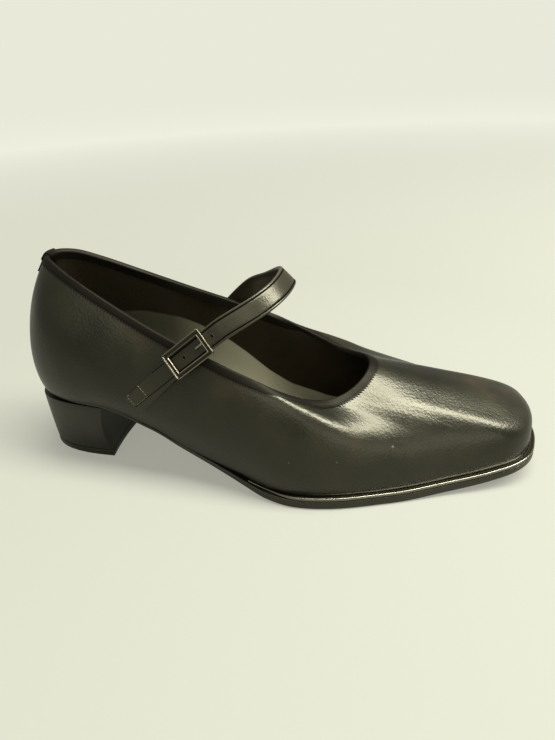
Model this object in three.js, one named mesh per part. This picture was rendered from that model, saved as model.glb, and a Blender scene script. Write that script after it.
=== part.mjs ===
import * as THREE from 'three';

// Square-toed bar court shoe for the right foot, in millimetres.
// +X runs from heel to toe, +Y to the inner (medial) side and +Z up, with the floor at zero.

// Driving dimensions
const SOLE_LENGTH = 250;
const BALL_WIDTH = 84;
const HEEL_HEIGHT = 34;
const BACK_RISE = 65;
const TOE_SPRING = 9.5;
const TOP_LIFT_THICKNESS = 3.6;
const SOLE_THICKNESS = 4.4;
const SOLE_LEDGE = 3.0;
const SOLE_EDGE_ROUNDING = 1.2;
const WELT_HEIGHT = 1.5;
const WELT_BEAD = 0.3;
const WELT_FADE = 0.03;
const WELT_START = 0.3;
const WELT_END_SHARE = 0.35;
const WELT_SEAT = 0.6;
const UPPER_WALL = 1.8;
const UPPER_SWELL = 5;
const SWELL_LOWNESS = 0.7;
const INSOLE_THICKNESS = 2;
const HEEL_LENGTH = 42;
const HEEL_BASE_LENGTH = 40;
const HEEL_BASE_WIDTH = 41;
const HEEL_BASE_SETBACK = 4;
const HEEL_INSET = 0.6;
const HEEL_TOP_WIDTH = 53;
const HEEL_OFFSET = 0.7;
const HEEL_FLARE = 1.6;
const HEEL_SQUARENESS = 2.5;
const BREAST_HOLLOW = 2.6;
const BREAST_ROUNDING = 1.5;
const TOP_LIFT_CHAMFER = 0.4;
const UPPER_EDGE_WALL = 1;
const BINDING_THICKNESS = 0.5;
const BINDING_OUTER_DEPTH = 2.4;
const BINDING_INNER_DEPTH = 4;
const SKIVE_DEPTH = 5;
const BACK_TAB_WIDTH = 7;
const BACK_TAB_DEPTH = 9;
const BACK_TAB_THICKNESS = 0.6;
const STRAP_WIDTH = 9.4;
const STRAP_THICKNESS = 2;
const STRAP_BEVEL = 0.4;
const TAB_LENGTH = 29;
const TAB_THICKNESS = 1.6;
const BUCKLE_LENGTH = 21;
const BUCKLE_WIDTH = 12.6;
const BUCKLE_BAR = 2.3;
const BUCKLE_HEIGHT = 1.8;
const PIN_LENGTH = 4;
const PIN_WIDTH = 1.2;
// Stations along the pin, as [run: share of PIN_LENGTH, full: share of PIN_WIDTH]
const PIN_STATIONS = [[0, 1], [0.7, 0.9], [1, 0.5]];
const PIN_TOP_SHARE = 0.7;
const RING_LENGTH = 9.5;
const RING_BAR = 1.7;
const RING_HEIGHT = 1.5;
const FRAME_RIM = 0.5;
const FRAME_CORNER = 0.8;
const FRAME_CHAMFER = 0.2;
const FIT_GAP = 0.3;

// Samples per section row round the shoe, and rows up the wall
const STEPS_PER_SECTION = 3;
const OUTER_ROWS = 14;
const BEND_WEIGHT = 22;

// Sections of the last, from the back of the seat to the middle of the toe.
// along, topAlong: share of SOLE_LENGTH. middle, half, topMiddle, topHalf: share of BALL_WIDTH.
// topLateral, topMedial: rise over the sole, share of BACK_RISE. wallLateral, wallMedial: share of
// that rise which stands as side wall. square: 2 is an ellipse, more is boxier. turn: how much of
// the quarter ellipse the wall makes up. swell: share of UPPER_SWELL.
const SECTION_COLUMNS = ['along', 'middle', 'half', 'topAlong', 'topMiddle', 'topHalf',
  'topLateral', 'topMedial', 'wallLateral', 'wallMedial', 'square', 'turn', 'swell'];
const SECTION_ROWS = {
  seatBack: [0.018, 0.000, 0.000, 0.085, 0.000, 0.000, 0.992, 0.992, 1.00, 1.00, 1.90, 0.75, 0.60],
  seatCorner: [0.032, -0.006, 0.125, 0.092, 0.000, 0.066, 0.988, 0.988, 1.00, 1.00, 1.90, 0.75, 0.62],
  seatShoulder: [0.068, -0.008, 0.238, 0.116, 0.000, 0.130, 0.968, 0.960, 1.00, 1.00, 1.90, 0.72, 0.76],
  seatSide: [0.120, -0.010, 0.304, 0.154, 0.000, 0.184, 0.905, 0.895, 1.00, 1.00, 1.90, 0.70, 0.88],
  breast: [0.190, -0.016, 0.322, 0.232, -0.006, 0.250, 0.815, 0.812, 1.00, 1.00, 1.90, 0.68, 0.95],
  waist: [0.328, -0.040, 0.316, 0.324, -0.012, 0.305, 0.815, 0.832, 1.00, 1.00, 1.90, 0.66, 0.95],
  waistFront: [0.448, -0.048, 0.373, 0.412, -0.020, 0.345, 0.818, 0.844, 1.00, 1.00, 1.95, 0.68, 0.80],
  ballRear: [0.560, -0.056, 0.453, 0.492, -0.032, 0.362, 0.784, 0.820, 0.98, 0.98, 2.10, 0.76, 0.60],
  ball: [0.632, -0.027, 0.470, 0.548, -0.044, 0.345, 0.710, 0.762, 0.88, 0.92, 3.20, 0.86, 0.40],
  treadFront: [0.728, 0.020, 0.434, 0.590, -0.046, 0.306, 0.640, 0.712, 0.66, 0.74, 3.80, 0.94, 0.26],
  toeRoot: [0.828, 0.062, 0.368, 0.622, -0.042, 0.256, 0.608, 0.680, 0.54, 0.59, 4.00, 1.00, 0.16],
  toeSide: [0.904, 0.079, 0.308, 0.646, -0.037, 0.206, 0.614, 0.680, 0.54, 0.45, 4.40, 1.00, 0.10],
  toeShoulder: [0.948, 0.095, 0.262, 0.664, -0.033, 0.158, 0.640, 0.692, 0.52, 0.42, 5.20, 1.00, 0.06],
  toeCorner: [0.971, 0.104, 0.199, 0.677, -0.030, 0.110, 0.672, 0.706, 0.46, 0.46, 6.50, 1.00, 0.06],
  toeFront: [0.982, 0.101, 0.090, 0.685, -0.030, 0.056, 0.700, 0.716, 0.46, 0.46, 7.50, 1.00, 0.06],
  toeMiddle: [0.985, 0.101, 0.000, 0.688, -0.030, 0.000, 0.716, 0.716, 0.46, 0.46, 7.50, 1.00, 0.06],
};

// Side profile of the outsole: arch is the share of HEEL_HEIGHT under it, spring the share of
// TOE_SPRING, thick the share of SOLE_THICKNESS and ledge how far it stands out of the upper.
const PROFILE_COLUMNS = ['along', 'arch', 'spring', 'thick', 'ledge'];
const PROFILE_ROWS = {
  seatBack: [0.000, 0.965, 0.00, 0.36, -0.27],
  seatMiddle: [0.110, 1.015, 0.00, 0.36, -0.27],
  breast: [0.184, 0.985, 0.00, 0.40, -0.20],
  arch: [0.288, 0.705, 0.00, 0.46, 0.10],
  archFoot: [0.348, 0.455, 0.00, 0.52, 0.12],
  waistFront: [0.404, 0.287, 0.00, 0.62, 0.30],
  treadRear: [0.480, 0.100, 0.00, 0.80, 0.80],
  treadEdge: [0.520, 0.025, 0.00, 0.94, 0.96],
  ball: [0.568, 0.000, 0.00, 1.00, 1.00],
  treadFront: [0.740, 0.000, 0.00, 1.00, 1.00],
  toeRoot: [0.828, 0.000, 0.18, 0.95, 0.96],
  toeSide: [0.908, 0.000, 0.50, 0.86, 0.93],
  toeTip: [1.000, 0.000, 1.00, 0.74, 0.90],
};

// Places on the strap's line: along is the share of SOLE_LENGTH, across of BALL_WIDTH and up the
// share of BACK_RISE over the sole there. The first and last lie on the quarters.
const STRAP_COLUMNS = ['along', 'across', 'up'];
const STRAP_ROWS = {
  rising: [0.448, -0.348, 1.065],
  leaning: [0.488, -0.309, 1.192],
  bending: [0.515, -0.250, 1.264],
  nearCrown: [0.534, -0.154, 1.310],
  crown: [0.539, -0.004, 1.326],
  turned: [0.525, 0.130, 1.281],
  farSide: [0.489, 0.255, 1.160],
  falling: [0.448, 0.325, 1.034],
};
const BUCKLE_SPOT = { along: 0.392, up: 0.840, side: -1 };
const RING_SPOT = { along: 0.386, up: 0.715, side: 1 };
const BUCKLE_SLOPE = 42;
const RING_SLOPE = 50;

const LEATHER = { color: 0x26241f, roughness: 0.42, metalness: 0 };
const SOLE_LEATHER = { color: 0x1b1916, roughness: 0.38, metalness: 0 };
const LINING = { color: 0x2d2b28, roughness: 0.5, metalness: 0 };
const STEEL = { color: 0x6f6a60, roughness: 0.3, metalness: 1 };

const byColumns = (rows, columns) => Object.values(rows).map((values) =>
  Object.fromEntries(columns.map((column, index) => [column, values[index]])));

const SECTIONS = byColumns(SECTION_ROWS, SECTION_COLUMNS);
const PROFILE = byColumns(PROFILE_ROWS, PROFILE_COLUMNS);

// Smooth value of a profile column that never runs past its rows
function profileValue(column, share) {
  const last = PROFILE.length - 1;
  const slopeOf = (index) => (PROFILE[index + 1][column] - PROFILE[index][column])
    / (PROFILE[index + 1].along - PROFILE[index].along);
  const tangentAt = (index) => {
    if (index === 0 || index === last) {
      return slopeOf(Math.min(index, last - 1));
    }
    const before = slopeOf(index - 1);
    const after = slopeOf(index);
    return before * after > 0 ? 2 * before * after / (before + after) : 0;
  };
  const spot = Math.min(Math.max(share, 0), 1);
  let index = PROFILE.findIndex((row) => row.along > spot) - 1;
  if (index < 0) {
    index = last - 1;
  }
  const span = PROFILE[index + 1].along - PROFILE[index].along;
  const t = (spot - PROFILE[index].along) / span;
  const keep = (1 + 2 * t) * (1 - t) ** 2;
  const leave = t * (1 - t) ** 2 * span;
  const reach = t * t * (3 - 2 * t);
  const arrive = t * t * (t - 1) * span;
  return keep * PROFILE[index][column] + leave * tangentAt(index)
    + reach * PROFILE[index + 1][column] + arrive * tangentAt(index + 1);
}

const soleBottom = (x) => HEEL_HEIGHT * profileValue('arch', x / SOLE_LENGTH)
  + TOE_SPRING * profileValue('spring', x / SOLE_LENGTH);
const soleThickness = (x) => SOLE_THICKNESS * profileValue('thick', x / SOLE_LENGTH);
const soleTop = (x) => soleBottom(x) + soleThickness(x);
const soleLedge = (x) => SOLE_LEDGE * profileValue('ledge', x / SOLE_LENGTH);

// The sections as one loop: back, outer side, toe, inner side
const lateralRows = SECTIONS
  .map((row) => ({ ...row, side: -1, rise: row.topLateral, wall: row.wallLateral }));
const medialRows = SECTIONS.slice(1, -1).reverse()
  .map((row) => ({ ...row, side: 1, rise: row.topMedial, wall: row.wallMedial }));
const LOOP = [...lateralRows, ...medialRows];

const closedCurve = (toPoint, type) => new THREE.CatmullRomCurve3(LOOP.map(toPoint), true, type);
const featherCurve = closedCurve((row) => new THREE.Vector3(
  row.along * SOLE_LENGTH, (row.middle + row.side * row.half) * BALL_WIDTH, 0), 'centripetal');
const toplineCurve = closedCurve((row) => new THREE.Vector3(
  row.topAlong * SOLE_LENGTH,
  (row.topMiddle + row.side * row.topHalf) * BALL_WIDTH,
  soleTop(row.topAlong * SOLE_LENGTH) + row.rise * BACK_RISE), 'centripetal');
const shapeCurve = closedCurve((row) => new THREE.Vector3(
  row.wall, row.square, row.turn * Math.PI / 2), 'catmullrom');
const swellCurve = closedCurve((row) => new THREE.Vector3(row.swell * UPPER_SWELL), 'catmullrom');

const AROUND = LOOP.length * STEPS_PER_SECTION;
const loopShares = Array.from({ length: AROUND }, (_, index) => index / AROUND);

// Outward direction of the feather line in plan
function featherOutward(share) {
  const step = 0.002;
  const ahead = featherCurve.getPoint((share + step) % 1);
  const behind = featherCurve.getPoint((share - step + 1) % 1);
  const run = ahead.sub(behind).normalize();
  return new THREE.Vector3(run.y, -run.x, 0);
}

// Point of the feather line moved out by a distance, at the height that a function gives
function edgePoint(share, out, heightAt) {
  const point = featherCurve.getPoint(share).addScaledVector(featherOutward(share), out);
  point.z = heightAt(point.x);
  return point;
}

// Sideways swell of the wall at a share of its rise
function swellAt(share, rise) {
  const height = THREE.MathUtils.clamp(rise, 0, 1);
  return swellCurve.getPoint(share).x * Math.sin(Math.PI * height ** SWELL_LOWNESS);
}

// Outer face of the upper at a loop share: each line up the wall is part of a quarter of a
// superellipse, and climb runs along it from the feather line (0) to the collar (1)
function wallPoint(share, climb) {
  const foot = featherCurve.getPoint(share);
  const top = toplineCurve.getPoint(share);
  const shape = shapeCurve.getPoint(share);
  const turn = Math.min(shape.z, Math.PI / 2);
  const onQuarter = (angle) => {
    const out = Math.max(Math.cos(angle), 0);
    const up = Math.sin(angle);
    const radius = (out ** shape.y + up ** shape.y) ** (-1 / shape.y);
    return { rise: radius * up, reach: 1 - radius * out };
  };
  const end = onQuarter(turn);
  const here = onQuarter(turn * climb);
  const rise = here.rise / end.rise;
  const reach = here.reach / end.reach;
  const footHeight = soleTop(foot.x) + FIT_GAP;
  const point = foot.clone().lerp(top, reach);
  point.z = footHeight + (top.z - footHeight) * (shape.x * rise + (1 - shape.x) * reach);
  return point.addScaledVector(featherOutward(share), swellAt(share, rise));
}

// Climb of the outer face that lies a length below the collar edge
function climbBelow(share, down) {
  const step = 0.006;
  let climb = 1;
  let here = wallPoint(share, climb);
  let walked = 0;
  while (walked < down && climb > step) {
    const next = wallPoint(share, climb - step);
    walked += next.distanceTo(here);
    here = next;
    climb -= step;
  }
  return climb;
}

// Direction of the collar edge at a loop share, and how squarely the line up the wall meets it
function collarRun(share) {
  const step = 0.001;
  const along = wallPoint((share + step) % 1, 1).sub(wallPoint((share - step + 1) % 1, 1));
  along.normalize();
  const below = 0.97;
  const lean = wallPoint(share, below).sub(wallPoint(share, 1)).normalize().dot(along);
  return { along, square: Math.sqrt(1 - lean * lean) };
}

// Climbs that spread rows up the wall by length, with more where the wall bends, and the last
// row but one where the wall starts to thin towards its edge
function wallClimbs(share) {
  const fine = 60;
  const high = climbBelow(share, SKIVE_DEPTH / collarRun(share).square);
  const climbs = Array.from({ length: fine + 1 }, (_, index) => index / fine * high);
  const points = climbs.map((climb) => wallPoint(share, climb));
  const measure = [0];
  for (let index = 1; index <= fine; index += 1) {
    const run = points[index].clone().sub(points[index - 1]);
    const next = index < fine ? points[index + 1].clone().sub(points[index]) : run;
    measure.push(measure[index - 1] + run.length() + BEND_WEIGHT * run.angleTo(next));
  }
  const spread = Array.from({ length: OUTER_ROWS }, (_, row) => {
    const wanted = measure[fine] * row / (OUTER_ROWS - 1);
    const passed = measure.findIndex((value) => value >= wanted);
    const index = passed < 0 ? fine : Math.max(passed, 1);
    const part = (wanted - measure[index - 1]) / (measure[index] - measure[index - 1]);
    return climbs[index - 1] + part * (climbs[index] - climbs[index - 1]);
  });
  return [...spread, 1];
}

// Outward normal of the upper's outer face
function wallNormal(share, climb) {
  const stepRound = 0.002;
  const stepUp = 0.006;
  const round = wallPoint((share + stepRound) % 1, climb)
    .sub(wallPoint((share - stepRound + 1) % 1, climb));
  const up = wallPoint(share, Math.min(climb + stepUp, 1))
    .sub(wallPoint(share, Math.max(climb - stepUp, 0)));
  return round.cross(up).normalize();
}

const wallGrid = loopShares.map(wallClimbs);
const outerRing = (row) => loopShares.map((share, index) => wallPoint(share, wallGrid[index][row]));
const innerRing = (row) => loopShares.map((share, index) => {
  const climb = wallGrid[index][row];
  const normal = wallNormal(share, climb);
  if (row === 0) {
    normal.setZ(0).normalize();
  }
  const wall = row === OUTER_ROWS ? UPPER_EDGE_WALL : UPPER_WALL;
  return wallPoint(share, climb).addScaledVector(normal, -wall);
});

// Value between two limits where a test stops holding
function bisect(low, high, holds) {
  let from = low;
  let to = high;
  for (let turn = 0; turn < 30; turn += 1) {
    const middle = (from + to) / 2;
    if (holds(middle)) {
      from = middle;
    } else {
      to = middle;
    }
  }
  return (from + to) / 2;
}

// The flat last strip of the wall, outside or inside: its edge, its run down and its normal
function collarStrip(share, inside) {
  const { along, square } = collarRun(share);
  const low = climbBelow(share, SKIVE_DEPTH / square);
  const edge = wallPoint(share, 1);
  const foot = wallPoint(share, low);
  if (inside) {
    edge.addScaledVector(wallNormal(share, 1), -UPPER_EDGE_WALL);
    foot.addScaledVector(wallNormal(share, low), -UPPER_WALL);
  }
  const run = foot.sub(edge).divideScalar(SKIVE_DEPTH);
  const normal = run.clone().cross(along).normalize();
  const rise = normal.clone().cross(along).normalize();
  return { edge, run, rise, normal: inside ? normal.negate() : normal };
}

// Point near the collar: a length down one of its faces, then out of that face
function collarPoint(share, inside, down, out) {
  if (down > SKIVE_DEPTH) {
    const climb = climbBelow(share, down);
    return wallPoint(share, climb).addScaledVector(wallNormal(share, climb), out);
  }
  const strip = collarStrip(share, inside);
  if (down > 0) {
    strip.edge.addScaledVector(strip.run, down);
  } else {
    strip.edge.addScaledVector(strip.rise, -down);
  }
  return strip.edge.addScaledVector(strip.normal, out);
}

// Place on a quarter of the upper, by its distance along the shoe and its height
function quarterSpot(x, height, side) {
  const seatSide = 3 / LOOP.length;
  const treadFront = 9 / LOOP.length;
  const shareOf = (part) => (side < 0 ? part : 1 - part);
  const climbTo = (share) => bisect(0, 1, (climb) => wallPoint(share, climb).z < height);
  const part = bisect(seatSide, treadFront, (candidate) => {
    const share = shareOf(candidate);
    return wallPoint(share, climbTo(share)).x < x;
  });
  const share = shareOf(part);
  const climb = climbTo(share);
  return { point: wallPoint(share, climb), normal: wallNormal(share, climb) };
}

// Closed solids from rings, sections and sheets of points
function solid(name, points, faces, finish) {
  const geometry = new THREE.BufferGeometry();
  geometry.setAttribute('position', new THREE.Float32BufferAttribute(
    points.flatMap((point) => [point.x, point.y, point.z]), 3));
  geometry.setIndex(faces.flat());
  geometry.computeVertexNormals();
  const mesh = new THREE.Mesh(geometry, new THREE.MeshStandardMaterial(finish));
  mesh.name = name;
  return mesh;
}

// Two triangles for four corners in order, split along the shorter diagonal
function quad(points, a, b, c, d) {
  return points[a].distanceTo(points[c]) <= points[b].distanceTo(points[d])
    ? [[a, b, c], [a, c, d]]
    : [[a, b, d], [b, c, d]];
}

// Rings stacked so that the last meets the first, as a hollow shell or a frame does
function ringSolid(name, rings, finish) {
  const count = rings[0].length;
  const points = rings.flat();
  const faces = [];
  rings.forEach((_, ring) => {
    const above = (ring + 1) % rings.length;
    for (let index = 0; index < count; index += 1) {
      const next = (index + 1) % count;
      faces.push(...quad(points, ring * count + index, ring * count + next,
        above * count + next, above * count + index));
    }
  });
  return solid(name, points, faces, finish);
}

// Triangles over one section, which may be folded, in the order that its points run
function capFaces(section, first) {
  const normal = new THREE.Vector3();
  section.forEach((point, index) => {
    normal.add(point.clone().cross(section[(index + 1) % section.length]));
  });
  const level = new THREE.Quaternion()
    .setFromUnitVectors(normal.normalize(), new THREE.Vector3(0, 0, 1));
  const contour = section.map((point) => {
    const flat = point.clone().applyQuaternion(level);
    return new THREE.Vector2(flat.x, flat.y);
  });
  return THREE.ShapeUtils.triangulateShape(contour, [])
    .map((face) => face.map((index) => index + first));
}

// Sections one after another with both ends closed
function loftSolid(name, sections, finish) {
  const count = sections[0].length;
  const points = sections.flat();
  const faces = [];
  for (let section = 0; section < sections.length - 1; section += 1) {
    for (let index = 0; index < count; index += 1) {
      const next = (index + 1) % count;
      faces.push(...quad(points, section * count + index, section * count + next,
        (section + 1) * count + next, (section + 1) * count + index));
    }
  }
  const last = sections.length - 1;
  faces.push(...capFaces(sections[0], 0).map((face) => face.reverse()));
  faces.push(...capFaces(sections[last], last * count));
  return solid(name, points, faces, finish);
}

// Rings from top to bottom whose first and last are closed across, side to side
function plateSolid(name, rings, finish) {
  const count = rings[0].length;
  const points = rings.flat();
  const faces = [];
  for (let ring = 0; ring < rings.length - 1; ring += 1) {
    for (let index = 0; index < count; index += 1) {
      const next = (index + 1) % count;
      faces.push(...quad(points, ring * count + index, (ring + 1) * count + index,
        (ring + 1) * count + next, ring * count + next));
    }
  }
  const low = (rings.length - 1) * count;
  for (let index = 0; index < count / 2; index += 1) {
    const across = (count - index) % count;
    const next = index + 1;
    const nextAcross = count - next;
    if (across !== index) {
      faces.push([index, next, across], [low + index, low + across, low + next]);
    }
    if (next !== nextAcross) {
      faces.push([next, nextAcross, across], [low + next, low + across, low + nextAcross]);
    }
  }
  return solid(name, points, faces, finish);
}

function makeUpper() {
  const outside = Array.from({ length: OUTER_ROWS + 1 }, (_, row) => outerRing(row));
  const insideRows = [OUTER_ROWS, ...Array.from({ length: OUTER_ROWS / 2 }, (_, index) =>
    OUTER_ROWS - 1 - 2 * index), 0];
  return ringSolid('upper', [...outside, ...insideRows.map(innerRing)], LEATHER);
}

function makeOutsole() {
  const ring = (inset, heightAt) => loopShares.map((share) => {
    const x = featherCurve.getPoint(share).x;
    return edgePoint(share, soleLedge(x) - inset, heightAt);
  });
  const rounding = (x) => Math.min(SOLE_EDGE_ROUNDING, soleThickness(x) / 2);
  return plateSolid('outsole', [
    ring(SOLE_EDGE_ROUNDING / 4, soleTop),
    ring(0, (x) => soleTop(x) - rounding(x) / 2),
    ring(0, (x) => soleBottom(x) + rounding(x)),
    ring(SOLE_EDGE_ROUNDING / 3, (x) => soleBottom(x) + rounding(x) / 3),
    ring(SOLE_EDGE_ROUNDING, soleBottom),
  ], SOLE_LEATHER);
}

function makeInsole() {
  const ring = (inset, rise) => loopShares.map((share) =>
    edgePoint(share, -UPPER_WALL - FIT_GAP - inset, (x) => soleTop(x) + FIT_GAP + rise));
  const rounding = INSOLE_THICKNESS / 4;
  return plateSolid('insole', [
    ring(rounding, INSOLE_THICKNESS),
    ring(0, INSOLE_THICKNESS - rounding),
    ring(0, 0),
  ], LINING);
}

function makeWelt() {
  const start = Object.keys(SECTION_ROWS).indexOf('waistFront') + WELT_START;
  const startShare = start / LOOP.length;
  const steps = 58;
  const sections = Array.from({ length: steps + 1 }, (_, index) => {
    const share = startShare + (1 - 2 * startShare) * index / steps;
    const foot = featherCurve.getPoint(share);
    const nearEnd = Math.min(share - startShare, 1 - startShare - share) / WELT_FADE;
    const full = THREE.MathUtils.lerp(WELT_END_SHARE, 1, THREE.MathUtils.smoothstep(nearEnd, 0, 1));
    const top = toplineCurve.getPoint(share);
    const tall = WELT_HEIGHT * full;
    const inner = FIT_GAP + swellAt(share, (tall + FIT_GAP) / (top.z - soleTop(foot.x)));
    const outer = Math.max(soleLedge(foot.x) * full, inner + WELT_SEAT);
    const groove = outer - 3 * WELT_BEAD * full;
    const [beadMiddle, beadFoot, seat] = [0.55, 0.97, 0.8].map((part) => part * tall);
    const at = (out, rise) => edgePoint(share, out, (x) => soleTop(x) + FIT_GAP + rise);
    return [
      at(inner, 0),
      at(outer - WELT_BEAD, 0),
      at(outer, beadMiddle),
      at(outer - WELT_BEAD, tall),
      at(groove, beadFoot),
      at(inner, seat),
    ].reverse();
  });
  return loftSolid('welt', sections, SOLE_LEATHER);
}

// D shaped section of the heel: round at the back, with a hollow breast
function heelSection(rise) {
  const roundSteps = 20;
  const breastSteps = 6;
  const flare = (1 - rise) ** HEEL_FLARE;
  const back = HEEL_BASE_SETBACK * flare + (SECTIONS[0].along * SOLE_LENGTH + HEEL_INSET) * (1 - flare);
  const long = HEEL_BASE_LENGTH + (HEEL_LENGTH - HEEL_BASE_LENGTH) * (1 - flare);
  const hollow = BREAST_HOLLOW * Math.sin(Math.PI * rise);
  const half = (HEEL_BASE_WIDTH + (HEEL_TOP_WIDTH - HEEL_BASE_WIDTH) * (1 - flare)) / 2;
  const points = [];
  for (let step = 0; step <= roundSteps; step += 1) {
    const turn = Math.PI / 2 - Math.PI * step / roundSteps;
    const reach = Math.abs(Math.cos(turn)) ** (2 / HEEL_SQUARENESS);
    const side = Math.sign(Math.sin(turn)) * Math.abs(Math.sin(turn)) ** (2 / HEEL_SQUARENESS);
    points.push({ x: back + long * (1 - reach), y: half * side - HEEL_OFFSET });
  }
  for (let step = 1; step < breastSteps; step += 1) {
    const side = -1 + 2 * step / breastSteps;
    const curve = BREAST_ROUNDING * (1 - side * side);
    points.push({ x: back + long - curve - hollow, y: half * side - HEEL_OFFSET });
  }
  points[0].x -= hollow;
  points[roundSteps].x -= hollow;
  return points;
}

function makeHeelBlock() {
  const rows = 7;
  const sections = Array.from({ length: rows + 1 }, (_, row) => {
    const rise = row / rows;
    return heelSection(rise).map(({ x, y }) => {
      const top = soleBottom(x) - FIT_GAP;
      const low = TOP_LIFT_THICKNESS + FIT_GAP;
      return new THREE.Vector3(x, y, low + (top - low) * rise);
    });
  });
  return loftSolid('heel_block', sections, LEATHER);
}

function makeTopLift() {
  const levels = [[0, TOP_LIFT_CHAMFER], [TOP_LIFT_CHAMFER, 0], [TOP_LIFT_THICKNESS, 0]];
  const outline = heelSection(0);
  const centre = { x: HEEL_BASE_SETBACK + HEEL_BASE_LENGTH / 2, y: -HEEL_OFFSET };
  const sections = levels.map(([height, inset]) => outline.map(({ x, y }) => {
    const shrink = 1 - 2 * inset / HEEL_BASE_WIDTH;
    return new THREE.Vector3(
      centre.x + (x - centre.x) * shrink, centre.y + (y - centre.y) * shrink, height);
  }));
  return loftSolid('top_lift', sections, SOLE_LEATHER);
}

// Strip folded over the collar, its corners as [inside, down, out]. The outer leg is a list of
// [down, near] from its end up to the edge, where near is its gap to the upper.
function foldSection(outerLeg, thickness, innerDepth) {
  const near = outerLeg[outerLeg.length - 1][1];
  const far = near + thickness;
  const farCorner = far * Math.SQRT1_2;
  const nearCorner = near * Math.SQRT1_2;
  return [
    ...outerLeg.map(([down, gap]) => [false, down, gap + thickness]),
    [false, -farCorner, farCorner],
    [false, -far, 0],
    [true, -far, 0],
    [true, -farCorner, farCorner],
    [true, 0, far],
    [true, innerDepth, far],
    [true, innerDepth, near],
    [true, -nearCorner, nearCorner],
    [false, -nearCorner, nearCorner],
    ...outerLeg.slice(0, -1).reverse().map(([down, gap]) => [false, down, gap]),
  ];
}

function makeBinding() {
  const section = foldSection([[BINDING_OUTER_DEPTH, FIT_GAP], [0, FIT_GAP]],
    BINDING_THICKNESS, BINDING_INNER_DEPTH);
  return ringSolid('topline_binding', section.map(([inside, down, out]) =>
    loopShares.map((share) => collarPoint(share, inside, down, out))), LEATHER);
}

function makeBackTab() {
  const overBinding = 2 * FIT_GAP + BINDING_THICKNESS;
  const section = foldSection([
    [BACK_TAB_DEPTH, FIT_GAP],
    [BINDING_OUTER_DEPTH + 2 * BACK_TAB_THICKNESS, FIT_GAP],
    [BINDING_OUTER_DEPTH + FIT_GAP, overBinding],
    [0, overBinding],
  ], BACK_TAB_THICKNESS, BINDING_INNER_DEPTH);
  const side = bisect(0, 1 / LOOP.length, (share) =>
    toplineCurve.getPoint(share).y > -BACK_TAB_WIDTH / 2);
  const sections = [1 - side, 1 - 1 / AROUND, 0, 1 / AROUND, side].map((share) =>
    section.map(([inside, down, out]) => collarPoint(share, inside, down, out)).reverse());
  return loftSolid('back_tab', sections, LEATHER);
}

// Rectangular metal frame with a raised rim, on a plane given by its centre and directions
function makeFrame(name, pose, { length, width, bar, height }) {
  const across = pose.long.clone().cross(pose.up);
  const ring = (inset, level) => {
    const halfLong = length / 2 - inset;
    const halfWide = width / 2 - inset;
    const cut = Math.max(FRAME_CORNER - inset, FRAME_CHAMFER);
    return [[1, 1], [1, -1], [-1, -1], [-1, 1]].flatMap(([long, wide]) => {
      const ends = [[halfLong, halfWide - cut], [halfLong - cut, halfWide]];
      const order = long * wide > 0 ? ends.reverse() : ends;
      return order.map(([a, b]) => pose.centre.clone()
        .addScaledVector(pose.long, long * a)
        .addScaledVector(across, wide * b)
        .addScaledVector(pose.up, level));
    });
  };
  const sunk = height - FRAME_RIM;
  return ringSolid(name, [
    ring(FRAME_CHAMFER, 0),
    ring(0, FRAME_CHAMFER),
    ring(0, height),
    ring(FRAME_RIM, height),
    ring(FRAME_RIM + FRAME_CHAMFER, sunk),
    ring(bar - FRAME_RIM, sunk),
    ring(bar - FRAME_CHAMFER, height - FRAME_CHAMFER),
    ring(bar, sunk),
    ring(bar, 0),
  ], STEEL);
}

// Plane on the quarter for a frame over the strap, its long side up the strap's line
function framePose(spot, slope, reach) {
  const x = spot.along * SOLE_LENGTH;
  const height = soleTop(x) + spot.up * BACK_RISE;
  const turn = THREE.MathUtils.degToRad(slope);
  const low = quarterSpot(x - reach * Math.cos(turn), height - reach * Math.sin(turn), spot.side);
  const high = quarterSpot(x, height, spot.side);
  const long = high.point.clone().sub(low.point).normalize();
  const wide = long.clone().cross(high.normal).normalize().multiplyScalar(-spot.side);
  const up = wide.clone().cross(long).multiplyScalar(-spot.side);
  const clear = 2 * FIT_GAP + BINDING_THICKNESS;
  return { long, wide, up, centre: high.point.clone().addScaledVector(up, clear) };
}

const overStrap = (pose) => ({
  ...pose,
  centre: pose.centre.clone().addScaledVector(pose.up, STRAP_THICKNESS + FIT_GAP),
});

const bucklePose = framePose(BUCKLE_SPOT, BUCKLE_SLOPE, BUCKLE_LENGTH / 2);
const ringPose = framePose(RING_SPOT, RING_SLOPE, RING_LENGTH / 2);

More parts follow.
